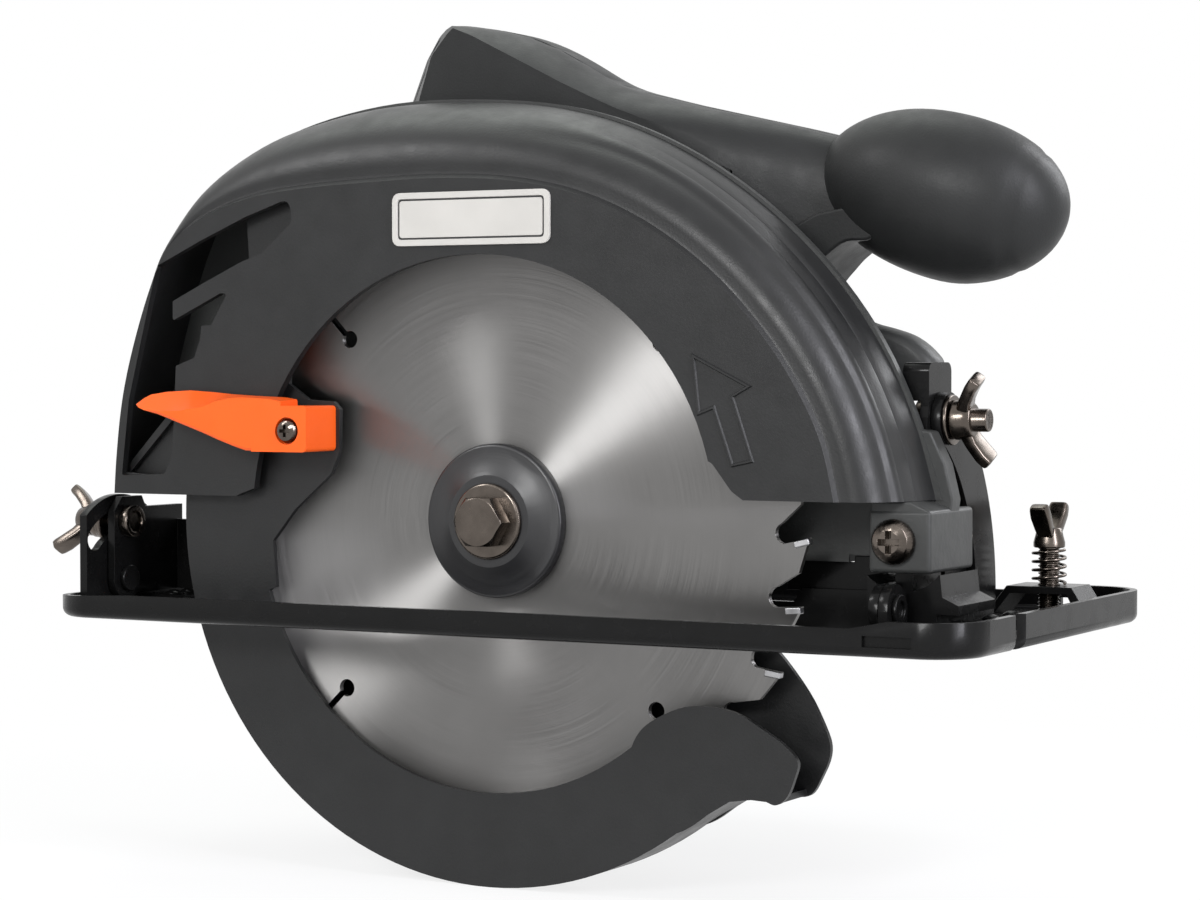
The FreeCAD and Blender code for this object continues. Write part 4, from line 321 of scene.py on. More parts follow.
def plated(name, colour, rough):
    """Plated or bare metal with faint stains."""
    return Surface(name, colour, rough, 1.0).mottle(120, 0.22).uneven(260, 0.1).grain(500, 0.00005, 0.4).mat


def make_materials():
    """Every material slot of the record, by name."""
    return {
        "blade_steel": blade_steel(),
        "carbide": plated("carbide", (0.42, 0.42, 0.43), 0.38),
        "plain_steel": plated("plain_steel", (0.5, 0.5, 0.51), 0.35),
        "bearing_steel": plated("bearing_steel", (0.66, 0.66, 0.67), 0.2),
        "flange_black": turned_finish("flange_black", (0.014, 0.014, 0.015), 0.36, 0.0),
        "dark_hardware": plated("dark_hardware", (0.115, 0.098, 0.085), 0.25),
        "copper": plated("copper", (0.7, 0.36, 0.2), 0.35),
        "brush_brass": plated("brush_brass", (0.7, 0.55, 0.27), 0.35),
        "grey_plastic": painted("grey_plastic", (0.2, 0.21, 0.22), 0.5),
        "black_plastic": painted("black_plastic", (0.0165, 0.017, 0.017), 0.45, 1500, 0.00008, shine=0.19),
        "trigger_plastic": painted("trigger_plastic", (0.015, 0.015, 0.017), 0.3),
        "rubber_black": painted("rubber_black", (0.018, 0.018, 0.018), 0.65),
        "guard_black": painted("guard_black", (0.0115, 0.0117, 0.0119), 0.4, 1300, 0.00007, 0.1, shine=0.33),
        "case_black": painted("case_black", (0.034, 0.035, 0.034), 0.45, 700, 0.00012),
        "gloss_black": painted("gloss_black", (0.005, 0.005, 0.005), 0.25, 500, 0.000008, 0.1, 0.06, 0.12),
        "orange_plastic": painted("orange_plastic", (0.8, 0.1, 0.008), 0.38, 1200, 0.00003, 0.03),
        "badge_silver": painted("badge_silver", (0.45, 0.437, 0.411), 0.35, 700, 0.00002, 0.04),
    }


# ---------------------------------------------------------------- mesh helpers
def new_object(name, mesh, slot, body, replaces=(), smooth=35.0):
    """A piece of the visual model, riding on one body. Edges sharper than smooth degrees stay sharp."""
    obj = bpy.data.objects.new(name, mesh)
    bpy.context.scene.collection.objects.link(obj)
    mesh.materials.clear()
    mesh.materials.append(MATS[slot])
    mesh.shade_smooth()
    mesh.set_sharp_from_angle(angle=math.radians(smooth))
    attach(obj, body)
    if replaces:
        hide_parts(*replaces)
    return obj


SAME_POINT = 0.000002   # metres


def mesh_from(name, verts, faces):
    """A mesh from points in millimetres, with its normals facing out."""
    mesh = bpy.data.meshes.new(name)
    mesh.from_pydata([tuple(c * MM for c in v) for v in verts], [], faces)
    work = bmesh.new()
    work.from_mesh(mesh)
    bmesh.ops.remove_doubles(work, verts=work.verts, dist=SAME_POINT)
    bmesh.ops.recalc_face_normals(work, faces=work.faces)
    work.to_mesh(mesh)
    work.free()
    return mesh


def catmull(points, per_span):
    """A smooth open line through points of any dimension."""
    ends = [points[0]] + list(points) + [points[-1]]
    line = []
    for k in range(len(points) - 1):
        a, b, c, d = ends[k:k + 4]
        for n in range(per_span):
            t = n / per_span
            line.append(tuple(0.5 * (2 * q + (r - p) * t + (2 * p - 5 * q + 4 * r - s) * t * t
                                     + (3 * q - p - 3 * r + s) * t ** 3) for p, q, r, s in zip(a, b, c, d)))
    return line + [tuple(points[-1])]


def rounded(corners, steps=5):
    """A closed outline from (x, z, radius) corners, each rounded by an arc of about that radius."""
    outline = []
    count = len(corners)
    for i, (x, z, r) in enumerate(corners):
        here = Vector((x, z))
        before = Vector(corners[i - 1][:2]) - here
        after = Vector(corners[(i + 1) % count][:2]) - here
        if r <= 0:
            outline.append((x, z))
            continue
        half = before.angle(after) / 2
        back = min(r / math.tan(half), before.length * 0.48, after.length * 0.48)
        start, end = here + before.normalized() * back, here + after.normalized() * back
        for k in range(steps + 1):
            t = k / steps
            p = start * (1 - t) ** 2 + here * 2 * t * (1 - t) + end * t * t
            outline.append((p.x, p.y))
    return outline


def prism_y(name, outline, y0, y1):
    """A prism along Y over a closed (x, z) outline."""
    n = len(outline)
    verts = [(x, y0, z) for x, z in outline] + [(x, y1, z) for x, z in outline]
    faces = [list(range(n)), list(range(2 * n - 1, n - 1, -1))]
    faces += [[i, (i + 1) % n, n + (i + 1) % n, n + i] for i in range(n)]
    return mesh_from(name, verts, faces)


def box_mesh(name, x0, x1, y0, y1, z0, z1):
    """A box from its limits."""
    return prism_y(name, [(x0, z0), (x1, z0), (x1, z1), (x0, z1)], y0, y1)


def circle(x, z, r, steps=96):
    """A round outline."""
    return [(x + r * math.cos(2 * math.pi * k / steps), z + r * math.sin(2 * math.pi * k / steps))
            for k in range(steps)]


def bake(obj):
    """Turns the object's modifiers into its mesh."""
    graph = bpy.context.evaluated_depsgraph_get()
    mesh = bpy.data.meshes.new_from_object(obj.evaluated_get(graph))
    obj.modifiers.clear()
    obj.data = mesh


def box_mm(node):
    """A CAD node's box in millimetres: its low corner, its high corner and its middle."""
    low, high = ([c / MM for c in corner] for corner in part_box(node))
    return low, high, [(a + b) / 2 for a, b in zip(low, high)]


def scratch(mesh):
    """An object to cut and join, which doesn't stay in the scene."""
    obj = bpy.data.objects.new(mesh.name, mesh)
    bpy.context.scene.collection.objects.link(obj)
    return obj


def copy_node(name):
    """A closed copy of a CAD node's mesh, free to be cut."""
    mesh = NODES[name].data.copy()
    mesh.name = name + "_copy"
    if "custom_normal" in mesh.attributes:
        mesh.attributes.remove(mesh.attributes["custom_normal"])
    work = bmesh.new()
    work.from_mesh(mesh)
    bmesh.ops.remove_doubles(work, verts=work.verts, dist=SAME_POINT)
    work.to_mesh(mesh)
    work.free()
    return scratch(mesh)


def take_mesh(obj):
    """The mesh of a scratch object, which goes."""
    mesh = obj.data
    bpy.data.objects.remove(obj)
    return mesh


def cut_away(obj, meshes, operation="DIFFERENCE"):
    """Cuts each closed mesh out of the object, or joins it on."""
    for mesh in meshes:
        cutter = scratch(mesh)
        step = obj.modifiers.new("cut", "BOOLEAN")
        step.operation = operation
        step.solver = "EXACT"
        step.object = cutter
        bpy.context.view_layer.update()
        bake(obj)
        bpy.data.objects.remove(cutter)


def soft_edges(obj, width, segments=2, angle=38.0):
    """Rounds the edges that are sharper than angle, by a width in millimetres."""
    edge = obj.modifiers.new("edge", "BEVEL")
    edge.width = width * MM
    edge.segments = segments
    edge.limit_method = "ANGLE"
    edge.angle_limit = math.radians(angle)
    edge.harden_normals = True


def dress(obj, width, flat_deg=1.5, sharp_deg=32.0, segments=2):
    """Rounded edges on a mesh that comes from the CAD, whose flat faces are first made whole."""
    weld = obj.modifiers.new("weld", "WELD")
    weld.merge_threshold = 0.000004
    flat = obj.modifiers.new("flat", "DECIMATE")
    flat.decimate_type = "DISSOLVE"
    flat.angle_limit = math.radians(flat_deg)
    soft_edges(obj, width, segments, sharp_deg)


def turned(name, profile, place, axis, steps):
    """A solid of revolution from (radius, height) corners, standing at place along axis."""
    rings = []
    turn = Vector(axis).to_track_quat("Z", "Y").to_matrix()
    base = Vector(place)
    for r, h in profile:
        rings.append([tuple(base + turn @ Vector((r * math.cos(2 * math.pi * k / steps),
                                                  r * math.sin(2 * math.pi * k / steps), h)))
                      for k in range(steps)])
    return rings_mesh(name, rings)


def rings_mesh(name, rings):
    """A skin over closed rings of points, closed at both ends."""
    n = len(rings[0])
    verts = [p for ring in rings for p in ring]
    faces = []
    for j in range(len(rings) - 1):
        for k in range(n):
            faces.append([j * n + k, j * n + (k + 1) % n, (j + 1) * n + (k + 1) % n, (j + 1) * n + k])
    last = (len(rings) - 1) * n
    faces.append(list(range(n - 1, -1, -1)))
    faces.append([last + k for k in range(n)])
    return mesh_from(name, verts, faces)


def sweep(name, path, sizes, side, power, steps):
    """A tube along a path. Each section is a superellipse with its own half widths, the first toward side."""
    rings = []
    count = len(path)
    for i, centre in enumerate(path):
        here = Vector(centre)
        along = Vector(path[min(i + 1, count - 1)]) - Vector(path[max(i - 1, 0)])
        along.normalize()
        wide = Vector(side) - along * Vector(side).dot(along)
        wide.normalize()
        high = along.cross(wide)
        a, b = sizes[i]
        ring = []
        for k in range(steps):
            turn = 2 * math.pi * k / steps
            c, s = math.cos(turn), math.sin(turn)
            u = math.copysign(abs(c) ** (2 / power), c)
            v = math.copysign(abs(s) ** (2 / power), s)
            ring.append(tuple(here + wide * (a * u) + high * (b * v)))
        rings.append(ring)
    return rings_mesh(name, rings)


def join(name, meshes):
    """Several closed meshes as one."""
    work = bmesh.new()
    for mesh in meshes:
        work.from_mesh(mesh)
    both = bpy.data.meshes.new(name)
    work.to_mesh(both)
    work.free()
    return both


# ---------------------------------------------------------------- upper guard
# The guard's outline, as in the CAD part: the outer edge at the back, and the flat face's edge beside it.
GUARD_EDGE = [((-124.2, 28), (-120.6, 28)), ((-123.4, 44), (-119.6, 44)), ((-121.3, 61), (-117.4, 61)),
              ((-117.3, 77), (-113.4, 76.5)), ((-111.8, 94), (-107.4, 93)), ((-106.5, 107), (-101.5, 104)),
              ((-97, 123.5), (-89.5, 112.5)), ((-80, 135), (-73, 117.8)), ((-60, 141), (-55, 120)),
              ((-38, 144), (-35, 121)), ((-12, 143.8), (-11, 121.6)), ((14, 141), (13, 120)),
              ((38, 134), (34, 115.2)), ((60, 122.8), (53, 106.5)), ((80, 108), (70.5, 94)),
              ((96.5, 91), (84.5, 79.5)), ((109, 72.5), (94.8, 65)), ((117.2, 54), (101.6, 51)),
              ((122.8, 34), (105.6, 34))]
FACE_Y, BACK_Y = -14.0, 12.0
REAR_Z, FRONT_Z = 34.5, 36.7    # the guard's lower edges, behind and before the mouth
WALL = 2.4
MOUTH_R = 72
# From the flat face to the back edge: share of the width, share of the depth. A chamfer, a broad swell,
# a valley, a narrow shoulder that ends in a step, and a plain band with a seam.
DOME = [(0, 0), (0.055, 0.052), (0.1, 0.06), (0.22, 0.055), (0.34, 0.066), (0.46, 0.11), (0.56, 0.165),
        (0.63, 0.22), (0.675, 0.275), (0.705, 0.32), (0.735, 0.345), (0.77, 0.362), (0.805, 0.392),
        (0.828, 0.43), (0.833, 0.46), (0.818, 0.475), (0.86, 0.56), (0.9, 0.66), (0.9, 0.672), (0.912, 0.684),
        (0.945, 0.79), (0.975, 0.89), (1, 1)]
PLAIN_UP_TO, RIDGED_FROM = -10, 62    # along x


def dome_at(k, x):
    """The dome's k-th profile point: ridged at the front, and one plain swell from the top to the rear."""
    share = min(1, max(0, (x - PLAIN_UP_TO) / (RIDGED_FROM - PLAIN_UP_TO)))
    share = share * share * (3 - 2 * share)
    r, d = DOME[k]
    if k < 3:
        return r, d
    t = math.sin(math.pi / 2 * (k - 2) / (len(DOME) - 3))
    plain_r, plain_d = 0.1 + 0.9 * t, 0.05 + 0.95 * (1 - (1 - t ** 2.1) ** 0.62)
    return plain_r + (r - plain_r) * share, plain_d + (d - plain_d) * share


def guard_shell():
    """The guard as a closed shell: a skin over dome and flat face, an inner skin, and the rims between."""
    spans = catmull([(ox, oz, fx, fz) for (ox, oz), (fx, fz) in GUARD_EDGE], 6)
    across, along = len(DOME), len(spans)
    outer, inner = [], []
    for ox, oz, fx, fz in spans:
        shrink = 1 - WALL / math.hypot(ox - fx, oz - fz)
        for k in range(across):
            r, d = dome_at(k, ox)
            outer.append((fx + (ox - fx) * r, FACE_Y + (BACK_Y - FACE_Y) * d, fz + (oz - fz) * r))
        for k in range(across):
            turn = math.pi / 2 * k / (across - 1)
            r, d = math.sin(turn) * shrink, 1 - math.cos(turn)
            y = FACE_Y + WALL + (BACK_Y - FACE_Y - WALL) * d
            inner.append((fx + (ox - fx) * r, y, fz + (oz - fz) * r))
    total = len(outer)
    faces = []
    for i in range(along - 1):
        for j in range(across - 1):
            a = i * across + j
            faces.append([a, a + 1, a + across + 1, a + across])
            faces.append([total + a, total + a + across, total + a + across + 1, total + a + 1])
        back = i * across + across - 1
        faces.append([back, back + across, total + back + across, total + back])
    for first in (0, (along - 1) * across):
        for a in range(first, first + across - 1):
            faces.append([a, a + 1, total + a + 1, total + a])
    edge = [i * across for i in range(along)]
    faces.append(edge)
    faces.append([total + k for k in edge])
    faces.append([edge[0], edge[-1], total + edge[-1], total + edge[0]])
    return scratch(mesh_from("guard_shell", outer + inner, faces))


# The chip outlet and the lower part of the mouth, as corners with the radius that rounds them.
CHIP_SLOTS = [(-105, 99.3, 1.5), (-89.8, 106.2, 0), (-74.3, 112.6, 0), (-59.6, 117.4, 3.2), (-58.6, 110.8, 3),
              (-69, 102.2, 2), (-75.7, 100.1, 0), (-88.1, 94.6, 0), (-99.4, 89.3, 0.5), (-99.4, 83.8, 0.6),
              (-82.9, 91.4, 1.0), (-80.6, 91.2, 0.8), (-86.1, 82.5, 0.5), (-89.5, 82.3, 0.4),
              (-89.9, 78.6, 0.5), (-92, 73.3, 0.8), (-98.4, 71, 0.5), (-99, 58, 0), (-99.8, 46.2, 0.5),
              (-102.3, 40.3, 1.5), (-117.6, 39.6, 0.8), (-115, 61.3, 0), (-110.9, 77, 0)]
MOUTH_CORNERS = [(-59.4, 65.7, 0), (-65.8, 44.3, 3), (-68, REAR_Z + 3.5, 6), (-80, REAR_Z - 0.5, 6),
                 (-80, 20, 0), (80.5, 20, 0), (80.5, FRONT_Z - 0.5, 0), (76.5, 38.9, 6), (70.6, 46.5, 4)]
ARROW = [(65.6, 73.6), (81.4, 65.8), (76.7, 63.2), (82.4, 46.8), (76.8, 45.6), (71.5, 60.4), (67.2, 58.8)]


def raised_line(name, outline, width, height, y):
    """A low ridge along a closed outline on a face at y."""
    n = len(outline)
    verts, faces = [], []
    for i, (x, z) in enumerate(outline):
        before = (Vector(outline[i]) - Vector(outline[i - 1])).normalized()
        after = (Vector(outline[(i + 1) % n]) - Vector(outline[i])).normalized()
        bisector = Vector((before.y + after.y, -before.x - after.x)).normalized()
        wide = width / 2 / max(0.35, bisector.dot(Vector((before.y, -before.x))))
        for side, up in ((-1.0, -0.2), (-0.35, height), (0.35, height), (1.0, -0.2)):
            verts.append((x + bisector.x * wide * side, y - up, z + bisector.y * wide * side))
    for i in range(n):
        j = (i + 1) % n
        for k in range(3):
            faces.append([4 * i + k, 4 * i + k + 1, 4 * j + k + 1, 4 * j + k])
        faces.append([4 * i + 3, 4 * i, 4 * j, 4 * j + 3])
    return mesh_from(name, verts, faces)


def make_upper_guard():
    """The guard's skin, cut to its feet, its mouth and the chip outlet."""
    shell = guard_shell()
    front, deep = FACE_Y - 3, FACE_Y + 6
    feet_part = -64.8
    cut_away(shell, [box_mesh("rear_foot", -140, feet_part, -30, 30, 0, REAR_Z),
                     box_mesh("front_foot", feet_part - 0.1, 140, -30, 30, 0, FRONT_Z),
                     prism_y("round_mouth", circle(0, ARBOR[2] / MM, MOUTH_R), front, deep),
                     prism_y("mouth_corners", rounded(MOUTH_CORNERS), front, deep),
                     prism_y("slots", rounded(CHIP_SLOTS, 4), front, deep)])
    guard = new_object("upper_guard_skin", take_mesh(shell), "guard_black", "saw_body", ["upper_guard"], 30)
    soft_edges(guard, 0.55, 3, 42)


def make_chip_ribs():
    """The floor, web, rib and wall inside the chip outlet, all outside the lower guard's sweep."""
    floor = rounded([(-121, 34.8, 0.4), (-100.4, 34.8, 0.4), (-100.4, 39.4, 0.5), (-118.5, 40.6, 0.5)])
    web = [(-119.2, 40), (-102.8, 56.6), (-98.6, 56.6), (-101.7, 38)]
    rib = [(-120.2, 40.6), (-118.4, 39.6), (-101.4, 56.8), (-103, 58.2)]
    wall = rounded([(-76.6, 98, 0.5), (-77.6, 114, 0.5), (-56, 119.5, 0.5), (-56, 114.4, 0.5),
                    (-66, 106.8, 0.5)])
    parts = [prism_y("chip_floor", floor, FACE_Y + 1.5, BACK_Y - 2.5),
             prism_y("chip_web", web, FACE_Y + 6, FACE_Y + 8),
             prism_y("chip_rib", rib, FACE_Y + 4, BACK_Y - 1),
             prism_y("chip_wall", wall, FACE_Y + 5.2, FACE_Y + 7)]
    ribs = new_object("upper_guard_ribs", join("upper_guard_ribs", parts), "guard_black", "saw_body")
    soft_edges(ribs, 0.3)


def make_turn_arrow():
    """The raised outline of the rotation arrow on the guard's flat face."""
    width, height = 1.3, 0.45
    arrow = raised_line("turn_arrow", ARROW, width, height, FACE_Y)
    new_object("turn_arrow", arrow, "guard_black", "saw_body", smooth=20)


def make_badge():
    """A pale frame round a sunk blank panel, with a black strip of painted shade in the gap between them."""
    (x0, y, z0), (x1, _, z1), _ = box_mm("badge_plate")

    def outline(inset, r):
        left, right, bottom, top = x0 + inset, x1 - inset, z0 + inset, z1 - inset
        return rounded([(left, bottom, r), (right, bottom, r), (right, top, r), (left, top, r)], 6)

    plate = scratch(prism_y("badge_frame", outline(0, 2.6), y, FACE_Y + 0.6))
    cut_away(plate, [prism_y("badge_well", outline(1.7, 1.2), y - 1, y + 0.55)])
    rim = new_object("badge_frame", take_mesh(plate), "badge_silver", "saw_body", ["badge_plate"])
    soft_edges(rim, 0.14)
    # A black strip at the bottom of the gap between frame and panel: painted shade for the shadow in the gap.
    gap_shade_mesh = prism_y("badge_gap_shade", outline(1.6, 1.2), y + 0.5, FACE_Y + 0.3)
    gap = new_object("badge_gap_shade", gap_shade_mesh, "flange_black", "saw_body")
    soft_edges(gap, 0.05)
    panel_mesh = prism_y("badge_panel", outline(2.2, 1.0), y + 0.2, FACE_Y + 0.3)
    panel = new_object("badge_panel", panel_mesh, "badge_silver", "saw_body")
    soft_edges(panel, 0.16)


# ---------------------------------------------------------------- knob
def make_knob():
    """The front knob's soft egg-shaped cover: a little fuller below, narrower at the rear, with one seam."""
    centre = Vector((110.6, 45, 117.6))
    tilt = math.radians(13)
    half, radius = 35.2, 21.3
    narrower, fuller_below, sag_depth = 0.10, 0.05, 1.3
    steps, around = 44, 64
    seam_ring, groove = 33, 0.35
    axis = Vector((math.cos(tilt), 0, -math.sin(tilt)))
    up = Vector((math.sin(tilt), 0, math.cos(tilt)))
    rings = []
    for i in range(1, steps):
        along = -math.cos(math.pi * i / steps)
        r = radius * (1 - abs(along) ** 2.25) ** (1 / 2.1)
        if along < 0:
            r *= 1 - narrower * along * along
        if i == seam_ring:
            r -= groove
        sag = sag_depth * math.exp(-((along - 0.25) / 0.4) ** 2)
        ring = []
        for k in range(around):
            turn = 2 * math.pi * k / around
            side, rise = r * math.cos(turn), r * math.sin(turn)
            if math.sin(turn) < 0:
                rise *= 1 + fuller_below * math.sin(turn) ** 2
                rise += sag * math.sin(turn)
            ring.append(tuple(centre + axis * (half * along) + Vector((0, side, 0)) + up * rise))
        rings.append(ring)
    new_object("knob_cover", rings_mesh("knob_cover", rings), "black_plastic", "saw_body", smooth=60)


def make_neck():
    """The arch under the knob, where the handle runs down to the motor."""
    arch = [(98, 108), (95, 104.6), (88.4, 104.2), (83.1, 101), (79.6, 97.6), (76, 93.5), (73.5, 88)]
    inner = [(62, 88), (64, 98), (70, 107), (80, 112), (92, 114)]
    outline = [p[:2] for p in catmull(arch, 4)] + inner
    near, far = 31, 59
    neck = new_object("handle_neck", prism_y("handle_neck", outline, near, far), "black_plastic", "saw_body")
    soft_edges(neck, 4.0, 5, 50)


# ---------------------------------------------------------------- blade
SLOT_TURNS = (134.3, 224.3, 314.3, 44.3)      # degrees
SLOT_FROM, SLOT_TO, SLOT_HALF = 69, 94, 0.85  # radii, and half of the width


def make_blade():
    """The blade, with its expansion slots as wide as they look."""
    blade = copy_node("saw_blade")
    corners = [(SLOT_FROM, -SLOT_HALF), (SLOT_TO, -SLOT_HALF), (SLOT_TO, SLOT_HALF), (SLOT_FROM, SLOT_HALF)]
    cutters = []
    for degrees in SLOT_TURNS:
        turn = Matrix.Rotation(math.radians(degrees), 2)
        outline = [turn @ Vector(c) + Vector((0, ARBOR[2] / MM)) for c in corners]
        cutters.append(prism_y("slot", [tuple(p) for p in outline], -3, 3))
    cut_away(blade, cutters)
    disc = new_object("blade_disc", take_mesh(blade), "blade_steel", "spindle", ["saw_blade"], 30)
    dress(disc, 0.08)


# ---------------------------------------------------------------- lever
# Along the finger: x, underside, crease between face and top, far edge of the top, and that edge's y.
FINGER = [(-105.2, 59.7, 60.2, 60.9, -21.4), (-104.4, 58.9, 59.4, 61.9, -20.8),
          (-102.6, 58.2, 58.7, 62.9, -20),
          (-98, 57.2, 58.3, 63.7, -18.4), (-91, 54.9, 58.4, 64.1, -17.2), (-83, 52.3, 59.5, 63.6, -16.3),
          (-77.5, 50.3, 61.3, 63.1, -15.8), (-72, 48.5, 62.2, 62.8, -15.6), (-68, 47.4, 62.3, 62.6, -15.5),
          (-60, 47.3, 61.9, 62.3, -15.5), (-56.2, 47.3, 61.3, 61.8, -15.5)]
LEVER_FACE, LEVER_BACK, PLATE_FACE = -23.5, -15.2, -8.7


def make_lever():
    """The thumb lever: a tapering finger whose top dips to a crease, and a block with the screw's seat."""
    rings = []
    for x, low, crease, top, y_top in FINGER:
        back = LEVER_BACK + min(0, x + 91) * 0.3
        rings.append([(x, LEVER_FACE + 0.4, low + 0.3), (x, LEVER_FACE, min(low + 1.0, crease - 0.1)),
                      (x, LEVER_FACE, crease), (x, min(y_top, back), top), (x, back + 0.15, top - 0.6),
                      (x, back + 0.15, low + 0.9)])
    outline = rounded([(-66, 47.4, 0), (-47.8, 47.4, 1.4), (-47.8, 60.1, 1.2), (-66, 60.1, 0)])
    block = scratch(prism_y("lever_block", outline, LEVER_FACE, LEVER_BACK))
    root = prism_y("lever_root", rounded([(-57.6, 47.6, 1.0), (-47.8, 47.4, 1.4), (-47.8, 60.1, 1.2),
                                          (-57.6, 60, 1.0)]), LEVER_BACK - 1, PLATE_FACE)
    cut_away(block, [rings_mesh("finger", rings), root], "UNION")
    x, _, z = box_mm("lever_screw")[2]
    seat_r, seat_depth = 3.75, 1.3
    cut_away(block, [prism_y("seat", circle(x, z, seat_r, 48), LEVER_FACE - 1, LEVER_FACE + seat_depth)])
    piece = new_object("lever_block", take_mesh(block), "orange_plastic", "lower_guard", ["guard_lever"], 24)
    dress(piece, 0.6, 0.5, 24, 3)


def make_lower_guard():
    """The lower guard, with its plate cut level with the top of the lever's block."""
    guard = copy_node("lower_guard")
    above_lever = [(-63.5, 66), (-57, 61.6), (-38, 60.4), (-38, 80), (-63.5, 80)]
    cut_away(guard, [prism_y("above_lever", above_lever, -12, -3)])
    skin = new_object("lower_guard_skin", take_mesh(guard), "guard_black", "lower_guard", ["lower_guard"], 32)
    dress(skin, 0.4, 1.5, 32, 3)


# ---------------------------------------------------------------- handle
SIDE_Y, MIDDLE_Y = 28.0, 45.0
# Along x: height of the crease on the near side, share of the round tube in the section, the near side's y.
CREASE = [(-43, 169.4, 0, 28), (-33, 167.3, 0, 28), (-26.3, 164.6, 0, 28), (-16.5, 159.6, 0, 28),
          (-6.8, 154.7, 0, 28), (2.8, 149.9, 0, 28), (12.3, 145.5, 0, 28), (21.1, 141.4, 0.1, 28),
          (28, 138.2, 0.35, 28), (36, 134, 0.75, 28), (44, 129.5, 1, 28), (56, 124, 1, 29), (66, 120, 1, 31),
          (76, 117, 1, 33.5), (93, 114, 1, 36)]
# Before and after those, the form is wider and higher than the handle and cuts nothing.
CLEAR_SIDE, CLEAR_TOP = 10, 176
# The fill behind the ridge, which keeps clear of the trigger and the switch.
FILL = [(90, 106), (80, 100), (60, 97), (44, 108), (40, 130), (30, 135), (12, 141), (0, 144), (-12, 146),
        (-26, 146), (-36, 144), (-42, 139), (-44, 104)]
FILL_WIDTH = 9.5
# The rear end's edge on the near side and at the middle: it runs back toward the middle.
END_NEAR = [(-51, 96), (-48.5, 120), (-45.5, 138), (-43, 148), (-39.3, 159), (-34, 165.3), (-31.6, 167.4),
            (-29, 180)]
END_MIDDLE = [(-70, 96), (-66.6, 120), (-60.8, 138), (-56.4, 148), (-51.2, 160), (-46.5, 167.2), (-44, 169.6),
              (-41, 180)]
# From there on, the knob hides the tube's top, which falls so much per millimetre.
TUBE_FROM, TUBE_FALL = 72, 0.26


def make_handle_side():
    """The handle's right half: flat up to a crisp crease, and rounded over the top from there."""
    half = copy_node("handle_right_half")
    inside = MIDDLE_Y - 1
    tree = BVHTree.FromPolygons([v.co for v in half.data.vertices], [p.vertices for p in half.data.polygons])

    def from_behind(z):
        hit = tree.ray_cast(Vector((-100, inside, z)) * MM, Vector((1, 0, 0)))[0] / MM
        return hit.x, hit.z

    def from_above(x):
        hit = tree.ray_cast(Vector((x, inside, 200)) * MM, Vector((0, 0, -1)))[0] / MM
        return hit.x, hit.z

    def top_at(x):
        if x > TUBE_FROM:
            return from_above(TUBE_FROM)[1] - TUBE_FALL * (x - TUBE_FROM)
        return from_above(x)[1] + 0.03

    outer = [from_behind(z) for z in range(104, 160, 4)]
    outer += [from_above(x) for x in range(-50, 74, 2)] + [(90, top_at(90))]
    cut_away(half, [prism_y("ridge", outer + FILL, SIDE_Y, SIDE_Y + FILL_WIDTH)], "UNION")

    stations = [(-80, CLEAR_TOP, 0, CLEAR_SIDE), (-44, CLEAR_TOP, 0, CLEAR_SIDE)] + CREASE
    stations += [(94, 170, 0, CLEAR_SIDE), (150, 170, 0, CLEAR_SIDE)]
    rings = []
    for x, crease, tube, side in stations:
        top = CLEAR_TOP if side == CLEAR_SIDE else top_at(x)
        near = side if side > SIDE_Y else CLEAR_SIDE
        ring = [(x, near - 0.5, 0), (x, near - 0.5, crease - (top - crease) * 2.0 * (1 - tube) - tube)]
        for k in range(11):
            share = 1 - math.cos(math.pi / 2 * k / 10)
            creased = (1 - share) ** 2
            round_top = 1 - (1 - (1 - share) ** 2.4) ** (1 / 2.4)
            drop = (top - crease) * (creased + (round_top - creased) * tube)
            ring.append((x, side - 0.5 + (MIDDLE_Y + 0.6 - side) * share, top - drop))
        rings.append(ring + [(x, 70, top), (x, 70, 0)])
    cut_away(half, [rings_mesh("form", rings)], "INTERSECT")
    ends = []
    for y in (SIDE_Y - 3, MIDDLE_Y + 1):
        share = (y - SIDE_Y) / (MIDDLE_Y - SIDE_Y)
        line = [(a + (c - a) * share, b + (d - b) * share) for (a, b), (c, d) in zip(END_NEAR, END_MIDDLE)]
        ends.append([(x, y, z) for x, z in [(-95, 96)] + line + [(-95, 180)]])
    cut_away(half, [rings_mesh("end", ends)])
    skin = new_object("handle_side", take_mesh(half), "black_plastic", "saw_body", ["handle_right_half"], 28)
    dress(skin, 0.5, 0.8, 30, 3)


def make_handle_foot():
    """The tab at the handle's rear that lies on the guard."""
    outline = rounded([(-49.5, 138, 0), (-48.5, 141.9, 0.5), (-44.5, 144.7, 2), (-27, 145, 0.5),
                       (-27, 138, 0)])
    near, far = 14.8, 20
    foot = new_object("handle_foot", prism_y("handle_foot", outline, near, far), "black_plastic", "saw_body")
    soft_edges(foot, 0.5)


# ---------------------------------------------------------------- gear case
# The shoulder's outline where it reaches farthest, and how much smaller it is at other depths.
SHOULDER = [(66, 90), (80, 87), (91.1, 82.8), (96.6, 81.3), (102, 79.5), (105.9, 77.2), (109, 74.4),
            (110.6, 71.8), (111.2, 66), (96, 64.4), (84, 64.4), (66, 70)]
SHOULDER_CURVED = 9    # so many of those points lie on one curve
SHOULDER_DEPTHS = [(38.2, 4.0), (38.7, 2.4), (39.8, 1.1), (41.6, 0.3), (44, 0), (47, 0.3), (49.6, 1.2),
                   (51.2, 2.5), (51.85, 4.2)]
SHOULDER_MIDDLE = Vector((84, 70))


def make_gear_case():
    """The gear case, with room cut for its rounded shoulder."""
    case = copy_node("gear_case")
    cut_away(case, [box_mesh("shoulder_room", 85, 130, 37.9, 60, 60, 95)])
    skin = new_object("gear_case_skin", take_mesh(case), "case_black", "saw_body", ["gear_case"], 32)
    dress(skin, 0.35)


